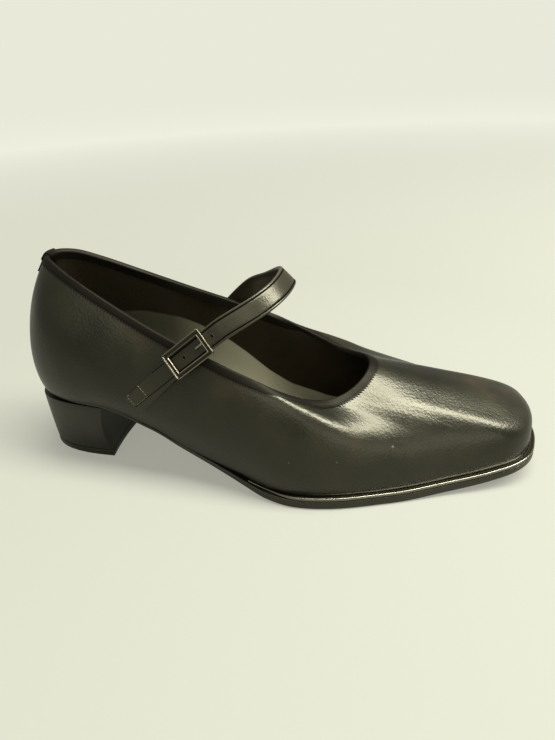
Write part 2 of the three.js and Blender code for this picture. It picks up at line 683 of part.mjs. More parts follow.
// Line of the strap from under the buckle, over the instep and down to its ring
function makeStrap() {
  const steps = 40;
  const [turnStart, turnEnd] = [0.18, 0.9];
  const onPose = (pose, run) => pose.centre.clone()
    .addScaledVector(pose.up, STRAP_THICKNESS / 2)
    .addScaledVector(pose.long, run);
  const free = byColumns(STRAP_ROWS, STRAP_COLUMNS).map(({ along, across, up }) => {
    const x = along * SOLE_LENGTH;
    return new THREE.Vector3(x, across * BALL_WIDTH, soleTop(x) + up * BACK_RISE);
  });
  const line = new THREE.CatmullRomCurve3([
    onPose(bucklePose, BUCKLE_BAR / 2 - BUCKLE_LENGTH / 2),
    onPose(bucklePose, 0),
    onPose(bucklePose, BUCKLE_LENGTH / 2),
    onPose(bucklePose, BUCKLE_LENGTH / 2 + STRAP_THICKNESS),
    ...free,
    onPose(ringPose, RING_LENGTH / 2 + STRAP_THICKNESS),
    onPose(ringPose, RING_LENGTH / 2),
    onPose(ringPose, 0),
    onPose(ringPose, -RING_LENGTH / 2 + RING_BAR / 2),
  ], false, 'centripetal');
  const corners = [[-1, -1], [1, -1], [1, 1], [-1, 1]];
  const sections = Array.from({ length: steps + 1 }, (_, step) => {
    const share = step / steps;
    const centre = line.getPointAt(share);
    const run = line.getTangentAt(share);
    const blend = THREE.MathUtils.smoothstep(share, turnStart, turnEnd);
    const wide = bucklePose.wide.clone().lerp(ringPose.wide, blend);
    wide.addScaledVector(run, -wide.dot(run)).normalize();
    const out = run.clone().cross(wide);
    return corners.flatMap(([across, above]) => {
      const ends = [
        [STRAP_WIDTH / 2, STRAP_THICKNESS / 2 - STRAP_BEVEL],
        [STRAP_WIDTH / 2 - STRAP_BEVEL, STRAP_THICKNESS / 2],
      ];
      const order = across * above > 0 ? ends : ends.reverse();
      return order.map(([a, b]) => centre.clone()
        .addScaledVector(wide, across * a)
        .addScaledVector(out, above * b));
    });
  });
  return loftSolid('strap', sections, LEATHER);
}

// Tab sewn flat on the outer quarter, rising a little to the buckle's lower bar
function makeBuckleTab() {
  const rows = 12;
  const columns = 4;
  const turn = THREE.MathUtils.degToRad(BUCKLE_SLOPE);
  const x = BUCKLE_SPOT.along * SOLE_LENGTH;
  const height = soleTop(x) + BUCKLE_SPOT.up * BACK_RISE;
  const near = BUCKLE_LENGTH / 2 - BUCKLE_BAR / 2 + 4 * FIT_GAP;
  const rest = FIT_GAP;
  const lift = FIT_GAP + BINDING_THICKNESS;
  const liftStart = 0.6;
  const layer = (thickness) => Array.from({ length: rows + 1 }, (_, row) =>
    Array.from({ length: columns + 1 }, (__, column) => {
      const run = near + TAB_LENGTH * (1 - row / rows);
      const across = STRAP_WIDTH * (column / columns - 0.5);
      const spot = quarterSpot(
        x - run * Math.cos(turn) + across * Math.sin(turn),
        height - run * Math.sin(turn) - across * Math.cos(turn), BUCKLE_SPOT.side);
      const raised = rest + lift * THREE.MathUtils.smoothstep(row / rows, liftStart, 1);
      return spot.point.addScaledVector(spot.normal, raised + thickness);
    }));
  const low = layer(0);
  const high = layer(TAB_THICKNESS);
  return loftSolid('buckle_tab', low.map((points, row) =>
    [...high[row], ...points.slice().reverse()]), LEATHER);
}

function makePin() {
  const pose = overStrap(bucklePose);
  const start = BUCKLE_LENGTH / 2 - BUCKLE_BAR - FIT_GAP;
  const corners = [[-1, 0], [1, 0], [PIN_TOP_SHARE, 1], [-PIN_TOP_SHARE, 1]];
  const sections = PIN_STATIONS.map(([run, full]) => corners
    .map(([across, above]) => pose.centre.clone()
      .addScaledVector(pose.long, start - run * PIN_LENGTH)
      .addScaledVector(pose.wide, across * full * PIN_WIDTH / 2)
      .addScaledVector(pose.up, above * full * PIN_WIDTH)));
  return loftSolid('buckle_pin', sections, STEEL);
}

const shoe = new THREE.Group();
shoe.add(
  makeOutsole(),
  makeWelt(),
  makeHeelBlock(),
  makeTopLift(),
  makeInsole(),
  makeUpper(),
  makeBinding(),
  makeBackTab(),
  makeBuckleTab(),
  makeStrap(),
  makeFrame('buckle_frame', overStrap(bucklePose),
    { length: BUCKLE_LENGTH, width: BUCKLE_WIDTH, bar: BUCKLE_BAR, height: BUCKLE_HEIGHT }),
  makePin(),
  makeFrame('strap_ring', overStrap(ringPose),
    { length: RING_LENGTH, width: BUCKLE_WIDTH, bar: RING_BAR, height: RING_HEIGHT }),
);

// The origin is the middle of the shoe's footprint, on the floor
const footprint = new THREE.Box3().setFromObject(shoe).getCenter(new THREE.Vector3());
shoe.position.set(-footprint.x, -footprint.y, 0);

export default shoe;
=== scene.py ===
"""A square-toed bar court shoe in smooth black leather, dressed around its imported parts.

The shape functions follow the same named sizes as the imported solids, so each piece lies on them.
"""

import logging
import math
from dataclasses import dataclass, field
from enum import Enum

import bpy
import numpy as np
from mathutils import Matrix, Vector

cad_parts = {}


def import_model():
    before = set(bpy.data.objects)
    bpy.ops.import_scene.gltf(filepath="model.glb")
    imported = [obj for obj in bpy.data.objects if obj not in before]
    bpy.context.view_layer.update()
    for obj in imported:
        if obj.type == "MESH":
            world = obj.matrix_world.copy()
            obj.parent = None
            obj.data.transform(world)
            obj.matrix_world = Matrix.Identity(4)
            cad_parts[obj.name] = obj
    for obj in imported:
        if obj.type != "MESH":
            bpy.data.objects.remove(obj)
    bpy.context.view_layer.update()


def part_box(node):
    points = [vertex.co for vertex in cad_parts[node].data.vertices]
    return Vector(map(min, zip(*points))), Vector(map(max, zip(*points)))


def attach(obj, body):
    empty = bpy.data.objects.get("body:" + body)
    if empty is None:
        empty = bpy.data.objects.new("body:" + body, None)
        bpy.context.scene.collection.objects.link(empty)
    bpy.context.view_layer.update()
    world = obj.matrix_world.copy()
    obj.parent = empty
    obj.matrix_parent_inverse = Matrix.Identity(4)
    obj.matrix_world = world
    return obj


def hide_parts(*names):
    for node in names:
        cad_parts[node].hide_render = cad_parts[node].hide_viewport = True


log = logging.getLogger("shoe")

MM = 0.001

# The photograph's height and the lens that fits it, in pixels, and the film's height in millimetres
PHOTO_HEIGHT = 740
PHOTO_FOCAL = 559.5
SENSOR = 36.0

# Sections of the last from the middle of the back, round to the middle of the toe.
# along, top_along: share of the sole's length. middle, half, top_middle, top_half: share of the
# ball's width. top_lateral, top_medial: share of the back's rise. wall_lateral, wall_medial: share
# of that rise that stands upright. square: exponent of the wall's curve. turn: share of the quarter
# curve it makes. swell: share of the upper's swell.
SECTION_COLUMNS = ("along", "middle", "half", "top_along", "top_middle", "top_half", "top_lateral",
                   "top_medial", "wall_lateral", "wall_medial", "square", "turn", "swell")
SECTION_ROWS = {
    "seat_back": (0.018, 0.000, 0.000, 0.085, 0.000, 0.000, 0.992, 0.992, 1.00, 1.00, 1.90, 0.75, 0.60),
    "seat_corner":
        (0.032, -0.006, 0.125, 0.092, 0.000, 0.066, 0.988, 0.988, 1.00, 1.00, 1.90, 0.75, 0.62),
    "seat_shoulder":
        (0.068, -0.008, 0.238, 0.116, 0.000, 0.130, 0.968, 0.960, 1.00, 1.00, 1.90, 0.72, 0.76),
    "seat_side":
        (0.120, -0.010, 0.304, 0.154, 0.000, 0.184, 0.905, 0.895, 1.00, 1.00, 1.90, 0.70, 0.88),
    "breast": (0.190, -0.016, 0.322, 0.232, -0.006, 0.250, 0.815, 0.812, 1.00, 1.00, 1.90, 0.68, 0.95),
    "waist": (0.328, -0.040, 0.316, 0.324, -0.012, 0.305, 0.815, 0.832, 1.00, 1.00, 1.90, 0.66, 0.95),
    "waist_front":
        (0.448, -0.048, 0.373, 0.412, -0.020, 0.345, 0.818, 0.844, 1.00, 1.00, 1.95, 0.68, 0.80),
    "ball_rear":
        (0.560, -0.056, 0.453, 0.492, -0.032, 0.362, 0.784, 0.820, 0.98, 0.98, 2.10, 0.76, 0.60),
    "ball": (0.632, -0.027, 0.470, 0.548, -0.044, 0.345, 0.710, 0.762, 0.88, 0.92, 3.20, 0.86, 0.40),
    "tread_front":
        (0.728, 0.020, 0.434, 0.590, -0.046, 0.306, 0.640, 0.712, 0.66, 0.74, 3.80, 0.94, 0.26),
    "toe_root": (0.828, 0.062, 0.368, 0.622, -0.042, 0.256, 0.608, 0.680, 0.54, 0.59, 4.00, 1.00, 0.16),
    "toe_side": (0.904, 0.079, 0.308, 0.646, -0.037, 0.206, 0.614, 0.680, 0.54, 0.45, 4.40, 1.00, 0.10),
    "toe_shoulder":
        (0.948, 0.095, 0.262, 0.664, -0.033, 0.158, 0.640, 0.692, 0.52, 0.42, 5.20, 1.00, 0.06),
    "toe_corner":
        (0.971, 0.104, 0.199, 0.677, -0.030, 0.110, 0.672, 0.706, 0.46, 0.46, 6.50, 1.00, 0.06),
    "toe_front":
        (0.982, 0.101, 0.090, 0.685, -0.030, 0.056, 0.700, 0.716, 0.46, 0.46, 7.50, 1.00, 0.06),
    "toe_middle":
        (0.985, 0.101, 0.000, 0.688, -0.030, 0.000, 0.716, 0.716, 0.46, 0.46, 7.50, 1.00, 0.06),
}

# Side profile of the outsole, as shares of the heel's height, toe spring, thickness and ledge
PROFILE_COLUMNS = ("along", "arch", "spring", "thick", "ledge")
PROFILE_ROWS = {
    "seat_back": (0.000, 0.965, 0.00, 0.36, -0.27),
    "seat_middle": (0.110, 1.015, 0.00, 0.36, -0.27),
    "breast": (0.184, 0.985, 0.00, 0.40, -0.20),
    "arch": (0.288, 0.705, 0.00, 0.46, 0.10),
    "arch_foot": (0.348, 0.455, 0.00, 0.52, 0.12),
    "waist_front": (0.404, 0.287, 0.00, 0.62, 0.30),
    "tread_rear": (0.480, 0.100, 0.00, 0.80, 0.80),
    "tread_edge": (0.520, 0.025, 0.00, 0.94, 0.96),
    "ball": (0.568, 0.000, 0.00, 1.00, 1.00),
    "tread_front": (0.740, 0.000, 0.00, 1.00, 1.00),
    "toe_root": (0.828, 0.000, 0.18, 0.95, 0.96),
    "toe_side": (0.908, 0.000, 0.50, 0.86, 0.93),
    "toe_tip": (1.000, 0.000, 1.00, 0.74, 0.90),
}

# Points of the strap's line over the instep: shares of length, width and the back's rise
STRAP_COLUMNS = ("along", "across", "up")
STRAP_ROWS = {
    "rising": (0.448, -0.348, 1.065),
    "leaning": (0.488, -0.309, 1.192),
    "bending": (0.515, -0.250, 1.264),
    "near_crown": (0.534, -0.154, 1.310),
    "crown": (0.539, -0.004, 1.326),
    "turned": (0.525, 0.130, 1.281),
    "far_side": (0.489, 0.255, 1.160),
    "falling": (0.448, 0.325, 1.034),
}

# Soft troughs (positive) and ridges (negative) in the leather: both ends as shares round the loop
# and climbs up the wall, then width and depth in millimetres. The ball, quarter and toe rows follow
# the photograph. vamp_fill is no crease: it fills the vamp's curve out where its highlight would
# break. The inner rows, on the side that the photograph hides, are guesses.
CREASE_COLUMNS = ("start_share", "start_climb", "end_share", "end_climb", "wide", "deep")
CREASE_ROWS = {
    "vamp_fill": (0.372, 0.90, 0.318, 0.44, 9.0, -0.55),
    "ball_trough": (0.305, 0.74, 0.297, 0.42, 4.5, 0.12),
    "ball_ridge": (0.288, 0.76, 0.283, 0.40, 4.5, -0.08),
    "quarter_trough": (0.257, 0.78, 0.271, 0.40, 6.0, 0.14),
    "toe_dimple": (0.412, 0.70, 0.410, 0.58, 3.2, 0.05),
    "inner_trough": (0.700, 0.78, 0.705, 0.42, 5.0, 0.16),
    "inner_ridge": (0.718, 0.78, 0.722, 0.44, 5.0, -0.09),
}

# Upper edge of the grey area inside, whose light grey is partly a painted sheen: share of the
# length, millimetres over the sole. It is read from the photograph on the far wall, and the near
# wall repeats it as a guess.
PANEL_ROWS = (
    (0.00, 22.0), (0.168, 24.8), (0.226, 27.4), (0.283, 32.0), (0.330, 34.2), (0.386, 31.4),
    (0.420, 26.7), (0.466, 18.8), (0.512, 13.0), (0.564, 8.4), (0.588, 5.7), (0.66, 1.0),
)

# Faint rubbed marks: place in the last's frame and length, in millimetres. vamp_rub and top_rub are
# read from the photograph, and ball_rub is a guess.
MARK_ROWS = {
    "vamp_rub": (183.6, -32.0, 27.5, 0.8),
    "top_rub": (211.8, -13.1, 35.5, 0.9),
    "ball_rub": (160.9, -42.4, 24.7, 0.5),
}

# Section of the welt outside its inner face: distance inside its outer edge, in widths of the bead,
# and share of its height
WELT_ROWS = {
    "foot": (1.0, 0.0), "under_bead": (0.3, 0.2), "bead": (0.0, 0.5), "over_bead": (0.3, 0.8),
    "crown": (1.0, 0.98), "top": (2.0, 1.0), "groove_side": (3.0, 0.9), "groove": (3.5, 0.78),
}
WELT_INNER_RISE = 0.76

# Pressed line on the strap's face: inset from the strap's edge and depth, in millimetres
STRAP_LINE_ROWS = {
    "outer_lip": (0.85, 0.0), "bottom": (1.15, 0.26), "inner_side": (1.5, 0.05),
    "inner_lip": (2.2, 0.0),
}

# Samples up the wall, and the small steps that its directions are measured over
WALL_SAMPLES = 241
HEIGHT_SAMPLES = 401
ROUND_STEP = 0.002
CLIMB_STEP = 0.006
COLLAR_STEP = 0.001
JUST_BELOW_COLLAR = 0.97

# Below 1, this puts the widest place of the wall under the middle of its rise
SWELL_LOWNESS = 0.7

# Sections of the loop between which each quarter lies
QUARTER_SECTIONS = (3, 9)

# The leathers' patterns: sizes in millimetres, as multiples of the grain, or for the specks' radii
# as shares of their cell. Real calf grain is finer than the 0.9 to 1.4 mm used here; it is drawn
# coarser, so that the render's pixels can show it.
TONE_MM = 28.0
TONE_STOPS = (0.35, 0.60, 0.74)
PORE_RATIO = 1.6
FOLD_RATIO = 9.0
FOLD_WEIGHT = 1.3
SPECK_CELL_MM = 5.0
SPECK_RADII = (0.025, 0.045)
RUB_GRAIN_MM = 0.7
DUST_COLOUR = "#8f8a7a"
RUB_COLOUR = "#6f6a5c"
GLOSS_TINT = "#fbf9e4"

# The grey area inside, lighter towards the toe as a painted sheen: its darker tone at the back,
# where it starts and ends turning light along the shoe, and how soft its edge is, in millimetres
REAR_GREY_DIM_SHEEN = "#565649"
SHEEN_TURN_MM = (-60.0, -12.0)
GREY_EDGE_MM = 0.4

# Height in millimetres from which rays are cast down on the tab
PROBE_HEIGHT = 12.0

Points = np.ndarray
Faces = list[tuple[int, ...]]


class Side(Enum):
    """Side of the right shoe, as the sign of y in the shoe's own frame."""

    OUTER = -1
    INNER = 1


class Slot(Enum):
    """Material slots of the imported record."""

    UPPER = "upper_leather"
    SOLE = "sole_leather"
    LINING = "lining_leather"
    METAL = "dark_metal"


def linear(hex_colour: str) -> tuple[float, float, float, float]:
    """Turn an sRGB hex colour into the linear colour that shaders take.

    Args:
        hex_colour: Six hex digits after a hash.

    Returns:
        Linear red, green and blue with alpha 1.
    """
    values = [int(hex_colour[i:i + 2], 16) / 255 for i in (1, 3, 5)]
    parts = [v / 12.92 if v <= 0.04045 else ((v + 0.055) / 1.055) ** 2.4 for v in values]
    return (parts[0], parts[1], parts[2], 1.0)


def catmull_rom(points: Points, places: Points, centripetal: bool, closed: bool) -> Points:
    """Evaluate a Catmull-Rom curve.

    Args:
        points: Control points, one a row.
        places: Positions along the curve from 0 to 1, evenly over its control points.
        centripetal: Space the spans by the root of their chords, not evenly.
        closed: Join the last point to the first.

    Returns:
        One point a row for each place.
    """
    count = len(points)
    spans = count if closed else count - 1
    spot = np.mod(places, 1.0) * spans if closed else np.clip(places, 0, 1) * spans
    index = np.minimum(np.floor(spot).astype(int), spans - 1)
    weight = (spot - index)[:, None]
    if closed:
        near = [points[(index + step) % count] for step in (-1, 0, 1, 2)]
    else:
        first = 2 * points[0] - points[1]
        last = 2 * points[-1] - points[-2]
        padded = np.vstack([first, points, last])
        near = [padded[index + step] for step in (0, 1, 2, 3)]
    before, start, end, after = near
    if centripetal:
        gaps = [np.linalg.norm(b - a, axis=1, keepdims=True) ** 0.5
                for a, b in ((before, start), (start, end), (end, after))]
        leave = ((start - before) / gaps[0] - (end - before) / (gaps[0] + gaps[1])
                 + (end - start) / gaps[1]) * gaps[1]
        arrive = ((end - start) / gaps[1] - (after - start) / (gaps[1] + gaps[2])
                  + (after - end) / gaps[2]) * gaps[1]
    else:
        leave = (end - before) / 2
        arrive = (after - start) / 2
    bend = -3 * start + 3 * end - 2 * leave - arrive
    close = 2 * start - 2 * end + leave + arrive
    return start + leave * weight + bend * weight ** 2 + close * weight ** 3


def unit(vectors: Points) -> Points:
    """Scale each row to length one."""
    return vectors / np.maximum(np.linalg.norm(vectors, axis=-1, keepdims=True), 1e-12)


def smoothstep(values: Points, low: float, high: float) -> Points:
    """Ease from 0 to 1 between two values."""
    t = np.clip((np.asarray(values, float) - low) / (high - low), 0, 1)
    return t * t * (3 - 2 * t)


@dataclass
class Last:
    """Shape of the shoe: sole profile, feather line, collar and the wall between, in millimetres.

    Lengths are measured from the back of the seat, before the shift to the frame's origin.
    """

    sole_length: float = 250.0
    ball_width: float = 84.0
    heel_height: float = 34.0
    back_rise: float = 65.0
    toe_spring: float = 9.5
    sole_thickness: float = 4.4
    sole_ledge: float = 3.0
    upper_wall: float = 1.8
    edge_wall: float = 1.0
    upper_swell: float = 5.0
    skive_depth: float = 5.0
    fit_gap: float = 0.3
    sections: list[dict[str, float]] = field(default_factory=list)

    def __post_init__(self) -> None:
        """Lay the section rows out as one loop: back, outer side, toe, inner side."""
        rows = [dict(zip(SECTION_COLUMNS, row)) for row in SECTION_ROWS.values()]
        outer = [{**row, "side": -1, "rise": row["top_lateral"], "wall": row["wall_lateral"]}
                 for row in rows]
        inner = [{**row, "side": 1, "rise": row["top_medial"], "wall": row["wall_medial"]}
                 for row in rows[-2:0:-1]]
        self.sections = outer + inner
        self.profile = np.array(list(PROFILE_ROWS.values()))
        length, width = self.sole_length, self.ball_width
        self.feather_points = np.array([
            (row["along"] * length, (row["middle"] + row["side"] * row["half"]) * width)
            for row in self.sections])
        self.top_points = np.array([
            (row["top_along"] * length,
             (row["top_middle"] + row["side"] * row["top_half"]) * width,
             self.sole_top(np.array([row["top_along"] * length]))[0] + row["rise"] * self.back_rise)
            for row in self.sections])
        self.shape_points = np.array([
            (row["wall"], row["square"], row["turn"] * math.pi / 2) for row in self.sections])
        self.swell_points = np.array([[row["swell"] * self.upper_swell] for row in self.sections])

    def profile_value(self, column: str, x: Points) -> Points:
        """Value of a profile column, smooth between its rows and never past them.

        Args:
            column: Name of the column.
            x: Distances along the shoe.

        Returns:
            One value for each distance.
        """
        along = self.profile[:, 0]
        values = self.profile[:, PROFILE_COLUMNS.index(column)]
        slopes = np.diff(values) / np.diff(along)
        tangents = np.concatenate([slopes[:1], np.zeros(len(along) - 2), slopes[-1:]])
        before, after = slopes[:-1], slopes[1:]
        same = before * after > 0
        total = np.where(same, before + after, 1.0)
        tangents[1:-1] = np.where(same, 2 * before * after / total, 0.0)
        spot = np.clip(np.asarray(x, float) / self.sole_length, 0, 1)
        index = np.clip(np.searchsorted(along, spot, side="right") - 1, 0, len(along) - 2)
        span = along[index + 1] - along[index]
        t = (spot - along[index]) / span
        keep = (1 + 2 * t) * (1 - t) ** 2
        reach = t * t * (3 - 2 * t)
        return (keep * values[index] + t * (1 - t) ** 2 * span * tangents[index]
                + reach * values[index + 1] + t * t * (t - 1) * span * tangents[index + 1])

    def sole_bottom(self, x: Points) -> Points:
        """Height of the outsole's underside."""
        return (self.heel_height * self.profile_value("arch", x)
                + self.toe_spring * self.profile_value("spring", x))

    def sole_depth(self, x: Points) -> Points:
        """Thickness of the outsole."""
        return self.sole_thickness * self.profile_value("thick", x)

    def sole_top(self, x: Points) -> Points:
        """Height of the outsole's upper face."""
        return self.sole_bottom(x) + self.sole_depth(x)

    def ledge(self, x: Points) -> Points:
        """How far the outsole stands out of the upper."""
        return self.sole_ledge * self.profile_value("ledge", x)

    def feather(self, shares: Points) -> Points:
        """Plan of the feather line, where the upper meets the sole."""
        return catmull_rom(self.feather_points, shares, True, True)

    def outward(self, shares: Points) -> Points:
        """Outward direction of the feather line in plan."""
        run = unit(self.feather(shares + ROUND_STEP) - self.feather(shares - ROUND_STEP))
        return np.column_stack([run[:, 1], -run[:, 0]])

    def swell(self, shares: Points, rise: Points) -> Points:
        """Sideways swell of the wall.

        Args:
            shares: Places round the loop.
            rise: Shares of the wall's rise, one or one row a place.

        Returns:
            Millimetres outward, in the layout of rise.
        """
        size = catmull_rom(self.swell_points, shares, False, True)[:, 0]
        bulge = np.sin(math.pi * np.clip(rise, 0, 1) ** SWELL_LOWNESS)
        return size.reshape((-1,) + (1,) * (rise.ndim - 1)) * bulge

    def wall(self, shares: Points, climbs: Points) -> Points:
        """Outer face of the upper.

        Args:
            shares: Places round the loop.
            climbs: One row a share, from the feather line (0) to the collar (1).

        Returns:
            Points with a row a share and a column a climb.
        """
        foot = self.feather(shares)
        top = catmull_rom(self.top_points, shares, True, True)
        shape = catmull_rom(self.shape_points, shares, False, True)
        upright, square, turn = (shape[:, [i]] for i in range(3))
        turn = np.minimum(turn, math.pi / 2)

        def quarter(angle: Points) -> tuple[Points, Points]:
            """Rise and reach of the quarter curve at an angle."""
            out, up = np.maximum(np.cos(angle), 0), np.sin(angle)
            radius = (out ** square + up ** square) ** (-1 / square)
            return radius * up, 1 - radius * out

        end_rise, end_reach = quarter(turn)
        rise, reach = quarter(turn * climbs)
        rise, reach = rise / end_rise, reach / end_reach
        foot_height = (self.sole_top(foot[:, 0]) + self.fit_gap)[:, None]
        plan = foot[:, None, :] + (top[:, None, :2] - foot[:, None, :]) * reach[..., None]
        plan = plan + self.outward(shares)[:, None, :] * self.swell(shares, rise)[..., None]
        height = foot_height + (top[:, [2]] - foot_height) * (
            upright * rise + (1 - upright) * reach)
        return np.concatenate([plan, height[..., None]], axis=2)

    def wall_normal(self, shares: Points, climbs: Points) -> Points:
        """Outward normals of the outer face.

        Args:
            shares: Places round the loop.
            climbs: One row a place.

        Returns:
            Normals, laid out as wall() lays its points out.
        """
        along = self.wall(shares + ROUND_STEP, climbs) - self.wall(shares - ROUND_STEP, climbs)
        up = (self.wall(shares, np.minimum(climbs + CLIMB_STEP, 1))
              - self.wall(shares, np.maximum(climbs - CLIMB_STEP, 0)))
        return unit(np.cross(along, up))

    def climb_below(self, shares: Points, depths: Points) -> Points:
        """Climbs that lie lengths below the collar, down the outer face.

        Args:
            shares: Places round the loop.
            depths: One row a share.

        Returns:
            Climbs in the layout of depths.
        """
        fine = np.linspace(1, 0, WALL_SAMPLES)
        lines = self.wall(shares, np.tile(fine, (len(shares), 1)))
        steps = np.linalg.norm(np.diff(lines, axis=1), axis=2)
        walked = np.concatenate([np.zeros((len(shares), 1)), np.cumsum(steps, axis=1)], axis=1)
        return np.array([np.interp(depth, length, fine)
                         for depth, length in zip(depths, walked)])

    def wall_length(self, shares: Points) -> Points:
        """Length of the outer face from feather line to collar at each share."""
        fine = np.tile(np.linspace(0, 1, WALL_SAMPLES), (len(shares), 1))
        return np.linalg.norm(np.diff(self.wall(shares, fine), axis=1), axis=2).sum(axis=1)

    def collar_strips(self, shares: Points, inside: bool) -> dict[str, Points]:
        """The flat last strip of the wall, outside or inside.

        Args:
            shares: Places round the loop.
            inside: Take the face towards the foot.

        Returns:
            Its edge, its run down for each millimetre of depth, its rise and its normal.
        """
        top = np.ones((len(shares), 1))
        along = unit(self.wall(shares + COLLAR_STEP, top) - self.wall(shares - COLLAR_STEP, top))[:, 0]
        edge = self.wall(shares, top)[:, 0]
        below = self.wall(shares, top * JUST_BELOW_COLLAR)[:, 0]
        lean = np.einsum("ij,ij->i", unit(below - edge), along)
        low = self.climb_below(shares, (self.skive_depth / np.sqrt(1 - lean ** 2))[:, None])
        foot = self.wall(shares, low)[:, 0]
        if inside:
            edge = edge - self.edge_wall * self.wall_normal(shares, top)[:, 0]
            foot = foot - self.upper_wall * self.wall_normal(shares, low)[:, 0]
        run = (foot - edge) / self.skive_depth
        normal = unit(np.cross(run, along))
        rise = unit(np.cross(normal, along))
        return {"edge": edge, "run": run, "rise": rise, "normal": -normal if inside else normal}

    def collar_point(self, shares: Points, inside: bool, down: float, out: float) -> Points:
        """Points beside the collar.

        Args:
            shares: Places round the loop.
            inside: Measure from the face towards the foot.
            down: Length down that face, or over its edge where negative.
            out: Distance out of that face.

        Returns:
            One point a row for each place.
        """
        if down > self.skive_depth:
            climbs = self.climb_below(shares, np.full((len(shares), 1), down))
            return (self.wall(shares, climbs) + out * self.wall_normal(shares, climbs))[:, 0]
        strip = self.collar_strips(shares, inside)
        along = strip["run"] * down if down > 0 else strip["rise"] * -down
        return strip["edge"] + along + strip["normal"] * out

    def edge_point(self, shares: Points, out: Points, height: Points) -> Points:
        """Points a distance out of the feather line, at given heights."""
        plan = self.feather(shares) + self.outward(shares) * np.asarray(out).reshape(-1, 1)
        return np.column_stack([plan, height])

    def quarter_spot(self, x: float, height: float, side: Side) -> tuple[Points, Points]:
        """Place on a quarter of the upper.

        Args:
            x: Distance along the shoe.
            height: Height over the floor.
            side: Which quarter.

        Returns:
            The point and the outward normal there.
        """
        parts = np.linspace(*QUARTER_SECTIONS, WALL_SAMPLES) / len(self.sections)
        shares = parts if side is Side.OUTER else 1 - parts
        climbs = np.tile(np.linspace(0, 1, HEIGHT_SAMPLES), (len(shares), 1))
        lines = self.wall(shares, climbs)
        at_height = np.array([np.interp(height, line[:, 2], row)
                              for line, row in zip(lines, climbs)])
        found = self.wall(shares, at_height[:, None])[:, 0]
        share = np.interp(x, found[:, 0], shares)
        climb = np.interp(x, found[:, 0], at_height)
        spot = (np.array([share]), np.array([[climb]]))
        return self.wall(*spot)[0, 0], self.wall_normal(*spot)[0, 0]


def add_node(tree: bpy.types.NodeTree, kind: str, settings: dict | None = None,
             links: dict | None = None, stops: tuple = ()) -> bpy.types.Node:
    """Add one shader node with its settings and links.

    Args:
        tree: Node tree that gets it.
        kind: Blender's name of the node type.
        settings: Properties, and values of inputs by their name or number.
        links: Sockets that feed inputs, by the input's name or number.
        stops: Positions and colours of a colour ramp.

    Returns:
        The new node.
    """
    node = tree.nodes.new(kind)
    for name, value in (settings or {}).items():
        if isinstance(name, int) or name in node.inputs:
            node.inputs[name].default_value = value
        else:
            setattr(node, name, value)
    for name, socket in (links or {}).items():
        tree.links.new(socket, node.inputs[name])
    if stops:
        ramp = node.color_ramp.elements
        while len(ramp) < len(stops):
            ramp.new(0.5)
        for element, (position, colour) in zip(ramp, stops):
            element.position = position
            element.color = colour
    return node


def empty_tree(owner: bpy.types.Material | bpy.types.World) -> bpy.types.NodeTree:
    """Turn on the nodes of a material or world, and clear them."""
    owner.use_nodes = True
    owner.node_tree.nodes.clear()
    return owner.node_tree


